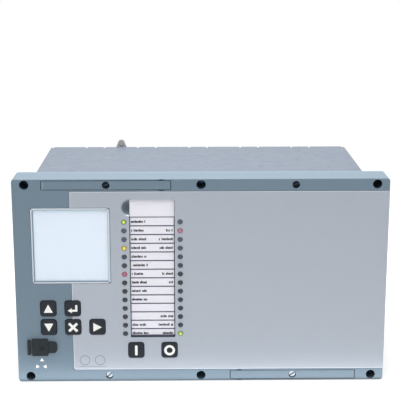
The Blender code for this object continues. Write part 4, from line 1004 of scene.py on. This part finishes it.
class RELAY_OT_terminals(bpy.types.Operator):
    """Puts a cross-slotted clamping screw in each well of the terminal blocks, and numbers beside them"""

    bl_idname = "relay.terminals"
    bl_label = "Terminal Screws"

    blocks = 6
    rows = 7
    well_depth = 3.2 * MM
    head_radius = 2.9 * MM
    head_height = 2.2 * MM
    head_top = 1.3 * MM
    slot_size = mm(4.4, 1.2, 0.8)
    well_number = 2.0 * MM
    block_number = 4.0 * MM
    number_relief = 0.05 * MM
    number_scale = 1.35
    turn_step = 37
    end_margins = 0.56

    def execute(self, context):
        low, high = corners("terminal_block_1")
        self.width, self.rear = high.x - low.x, high.y
        pitch = (high.z - low.z) / (self.rows + self.end_margins)
        self.heights = [(row - (self.rows - 1) / 2) * pitch for row in range(self.rows)]
        self.screws()
        self.numbers()
        return {"FINISHED"}

    def screws(self):
        """The clamping screws of each block, each turned another way."""
        across = self.width / 4
        steel = turned_metal("clamp_screws", screen(196, 196, 190), 0.3)
        head = self.head()
        for number in range(1, self.blocks + 1):
            centre = middle(f"terminal_block_{number}")
            parts = []
            for side in (-1, 1):
                for row, height in enumerate(self.heights):
                    part = copied(head)
                    part.location = (centre.x + side * across, self.rear - self.well_depth, centre.z + height)
                    part.rotation_euler = (0, math.radians(self.turn_step * (row + 3 * side + number)), 0)
                    parts.append(part)
            settle(joined(parts), f"clamp_screws_{number}", steel, smooth=30)
        bpy.data.objects.remove(head)

    def head(self):
        """A low screw head that faces the rear, with a soft rim and a cross slot."""
        head = disc(20, self.head_radius, self.head_height, self.head_top - self.head_height / 2, -1)
        bevel_edges(0.35 * MM, 2, lambda first, second: min(first.y, second.y) > self.head_top - 0.1 * MM)
        for turn in (0, QUARTER_TURN):
            select()
            bpy.ops.mesh.primitive_cube_add(
                size=1.0, location=(0, self.head_top - 0.2 * MM, 0),
                rotation=(0, turn, 0), scale=self.slot_size,
            )
            combine(head, active(), "DIFFERENCE")
        return head

    def numbers(self):
        """Plain numbers on the rear plate: one over each block, and one beside each well."""
        ink = printed("number_ink", screen(34, 38, 44), gloss=0.6)
        face = corners("rear_plate")[1].y
        beside = self.width / 2 + 1.7 * MM
        labels = []
        for row, height in enumerate(reversed(self.heights)):
            labels.append(self.label(2 * row + 1, self.well_number, (beside, face, height)))
            labels.append(self.label(2 * row + 2, self.well_number, (-beside, face, height)))
        column = joined(labels)
        for number in range(1, self.blocks + 1):
            centre = middle(f"terminal_block_{number}")
            beside_wells = copied(column)
            beside_wells.location = (centre.x, 0, centre.z)
            top = corners(f"terminal_block_{number}")[1].z
            from_left = self.blocks + 1 - number
            over = self.label(from_left, self.block_number, (centre.x, face, top + 5.0 * MM))
            settle(joined([beside_wells, over]), f"terminal_numbers_{number}", ink, smooth=0)
        bpy.data.objects.remove(column)

    def label(self, number, size, place):
        """A number that faces the rear, made a mesh."""
        select()
        bpy.ops.object.text_add(location=(0, 0, 0))
        text = active().data
        text.body = str(number)
        text.size = size * self.number_scale
        text.align_x = text.align_y = "CENTER"
        text.extrude = self.number_relief
        text.resolution_u = 3
        bpy.ops.object.convert(target="MESH")
        piece = active()
        edit_all()
        bpy.ops.mesh.remove_doubles(threshold=0.001 * MM)
        end_edit()
        piece.rotation_euler = (QUARTER_TURN, 0, 2 * QUARTER_TURN)
        piece.location = place
        return piece


class RELAY_OT_inside(bpy.types.Operator):
    """Finishes the boards and the rest inside the case"""

    bl_idname = "relay.inside"
    bl_label = "Inside"

    def execute(self, context):
        colours, _, _ = settings()
        boards = [f"{name}_board" for name in ("front", "bus", "power", "processor")]
        boards += [f"{name}_board_{side}" for name in ("measuring", "relay") for side in ("left", "right")]
        laminate = moulded("board_laminate", colours.board, gloss=0.35, grain=1200.0, depth=0.00004, tone=0.25)
        dress(laminate, *boards)
        guides = moulded("guide_plastic", screen(70, 72, 74), gloss=0.5)
        dress(guides, "board_guide_lower", "board_guide_upper")
        mats = moulded("mat_silicone", screen(150, 154, 156), gloss=0.6)
        dress(mats, "keypad_mat_menu", "keypad_mat_breaker")
        return {"FINISHED"}


class RELAY_OT_stage(bpy.types.Operator):
    """Sets up the floor, the light, the surroundings and the camera"""

    bl_idname = "relay.stage"
    bl_label = "Stage"

    floor_lift = 0.34
    shadow_reach = {"from_min": 0.35, "from_max": 0.9}
    overhead_place, overhead_aim, overhead_size = (-0.02, -0.06, 1.0), (0.0, -0.06, 0.0), (1.8, 0.7)
    strip_across, strip_before, strip_up, strip_size = -0.04, 0.011, 0.0005, (0.42, 0.018)

    def execute(self, context):
        _, _, stage = settings()
        self.floor(stage)
        self.surroundings(context, stage)
        self.lamps(stage)
        self.camera(context, stage)
        context.scene.view_settings.view_transform = "Standard"
        return {"FINISHED"}

    def floor(self, stage):
        """A pale floor that keeps the shadow near the relay and is plain white further away."""
        select()
        bpy.ops.mesh.primitive_plane_add(size=12.0, location=(0, 0, -0.0002))
        floor = active()
        floor.name = "studio_floor"
        made, tree, shader = new_material("studio_floor")
        put(shader, "Base Color", (stage.floor, stage.floor, stage.floor, 1.0))
        put(shader, "Roughness", 0.9)
        reach = add_node(tree, "VectorMath", object_place(tree), operation="LENGTH").outputs["Value"]
        fade = add_node(tree, "MapRange", reach, interpolation_type="SMOOTHSTEP", **self.shadow_reach)
        seen = self.seen(tree)
        lift = add_node(tree, "Math", seen, self.floor_lift, operation="MULTIPLY")
        near = add_node(tree, "AddShader", shader, add_node(tree, "Emission", strength=lift))
        far = add_node(tree, "Math", fade, seen, operation="MULTIPLY")
        white = add_node(tree, "Emission", strength=1.0)
        put(tree.nodes["Material Output"], "Surface", add_node(tree, "MixShader", far, near, white))
        floor.data.materials.append(made)

    def seen(self, tree):
        """1 for what the camera sees, directly, in a reflection or through glass, and 0 for other light."""
        path = tree.nodes.new("ShaderNodeLightPath").outputs
        either = add_node(tree, "Math", path["Is Camera Ray"], path["Is Glossy Ray"], operation="MAXIMUM")
        return add_node(tree, "Math", either, path["Is Transmission Ray"], operation="MAXIMUM")

    def surroundings(self, context, stage):
        """White where it is seen, and an even soft light for the rest."""
        world = bpy.data.worlds.new("soft_studio")
        context.scene.world = world
        world.use_nodes = True
        tree = world.node_tree
        sky = tree.nodes["Background"]
        put(sky, "Color", WHITE)
        put(sky, "Strength", stage.sky)
        backdrop = add_node(tree, "Background", WHITE, 1.0)
        mix = add_node(tree, "MixShader", self.seen(tree), sky, backdrop)
        put(tree.nodes["World Output"], "Surface", mix)

    def lamps(self, stage):
        place, aim, size = self.overhead_place, self.overhead_aim, self.overhead_size
        self.softbox("overhead_softbox", place, aim, size, stage.key_light)
        low = Vector((self.strip_across, front_plane() - self.strip_before, self.strip_up))
        strip = self.softbox("floor_strip", low, low + Vector((0, 0, 1)), self.strip_size, stage.low_light)
        strip.visible_camera = False

    def softbox(self, name, place, target, size, power):
        """A plain rectangular lamp that points from its place to a target."""
        select()
        bpy.ops.object.light_add(type="AREA", location=place)
        lamp = active()
        lamp.name = name
        lamp.data.shape = "RECTANGLE"
        lamp.data.size, lamp.data.size_y = size
        lamp.data.energy = power
        lamp.rotation_euler = (Vector(target) - Vector(place)).to_track_quat("-Z", "Y").to_euler()
        return lamp

    def camera(self, context, stage):
        select()
        turn = (QUARTER_TURN - stage.camera_pitch, 0.0, -stage.camera_turn)
        bpy.ops.object.camera_add(location=stage.camera_place, rotation=turn)
        camera = active()
        camera.name = "photo_camera"
        camera.data.lens = stage.lens
        camera.data.sensor_width = 36.0
        camera.data.clip_start = 0.01
        camera.data.clip_end = 50.0
        context.scene.camera = camera


class RELAY_PT_dresser(bpy.types.Panel):
    """Lists the pieces of the relay and their settings"""

    bl_label = "Protection Relay"
    bl_idname = "RELAY_PT_dresser"
    bl_space_type = "VIEW_3D"
    bl_region_type = "UI"
    bl_category = "Relay"

    def draw(self, context):
        for operator in PIECES:
            self.layout.operator(operator.bl_idname)
        for name in GROUPS:
            group = getattr(context.scene, name)
            box = self.layout.box()
            for setting in group.__annotations__:
                box.prop(group, setting)


PIECES = (
    RELAY_OT_housing,
    RELAY_OT_display,
    RELAY_OT_keys,
    RELAY_OT_card,
    RELAY_OT_lamps,
    RELAY_OT_port,
    RELAY_OT_screws,
    RELAY_OT_case,
    RELAY_OT_terminals,
    RELAY_OT_inside,
    RELAY_OT_stage,
)
GROUPS = {"relay_colours": RelayColours, "relay_print": RelayPrint, "relay_stage": RelayStage}


def register():
    for name, group in GROUPS.items():
        bpy.utils.register_class(group)
        setattr(bpy.types.Scene, name, bpy.props.PointerProperty(type=group))
    for kind in (*PIECES, RELAY_PT_dresser):
        bpy.utils.register_class(kind)


def unregister():
    for kind in reversed((*PIECES, RELAY_PT_dresser)):
        bpy.utils.unregister_class(kind)
    for name, group in GROUPS.items():
        delattr(bpy.types.Scene, name)
        bpy.utils.unregister_class(group)


def main():
    register()
    for operator in PIECES:
        name = operator.bl_idname.removeprefix("relay.")
        getattr(bpy.ops.relay, name)()


if __name__ == "__main__":
    main()
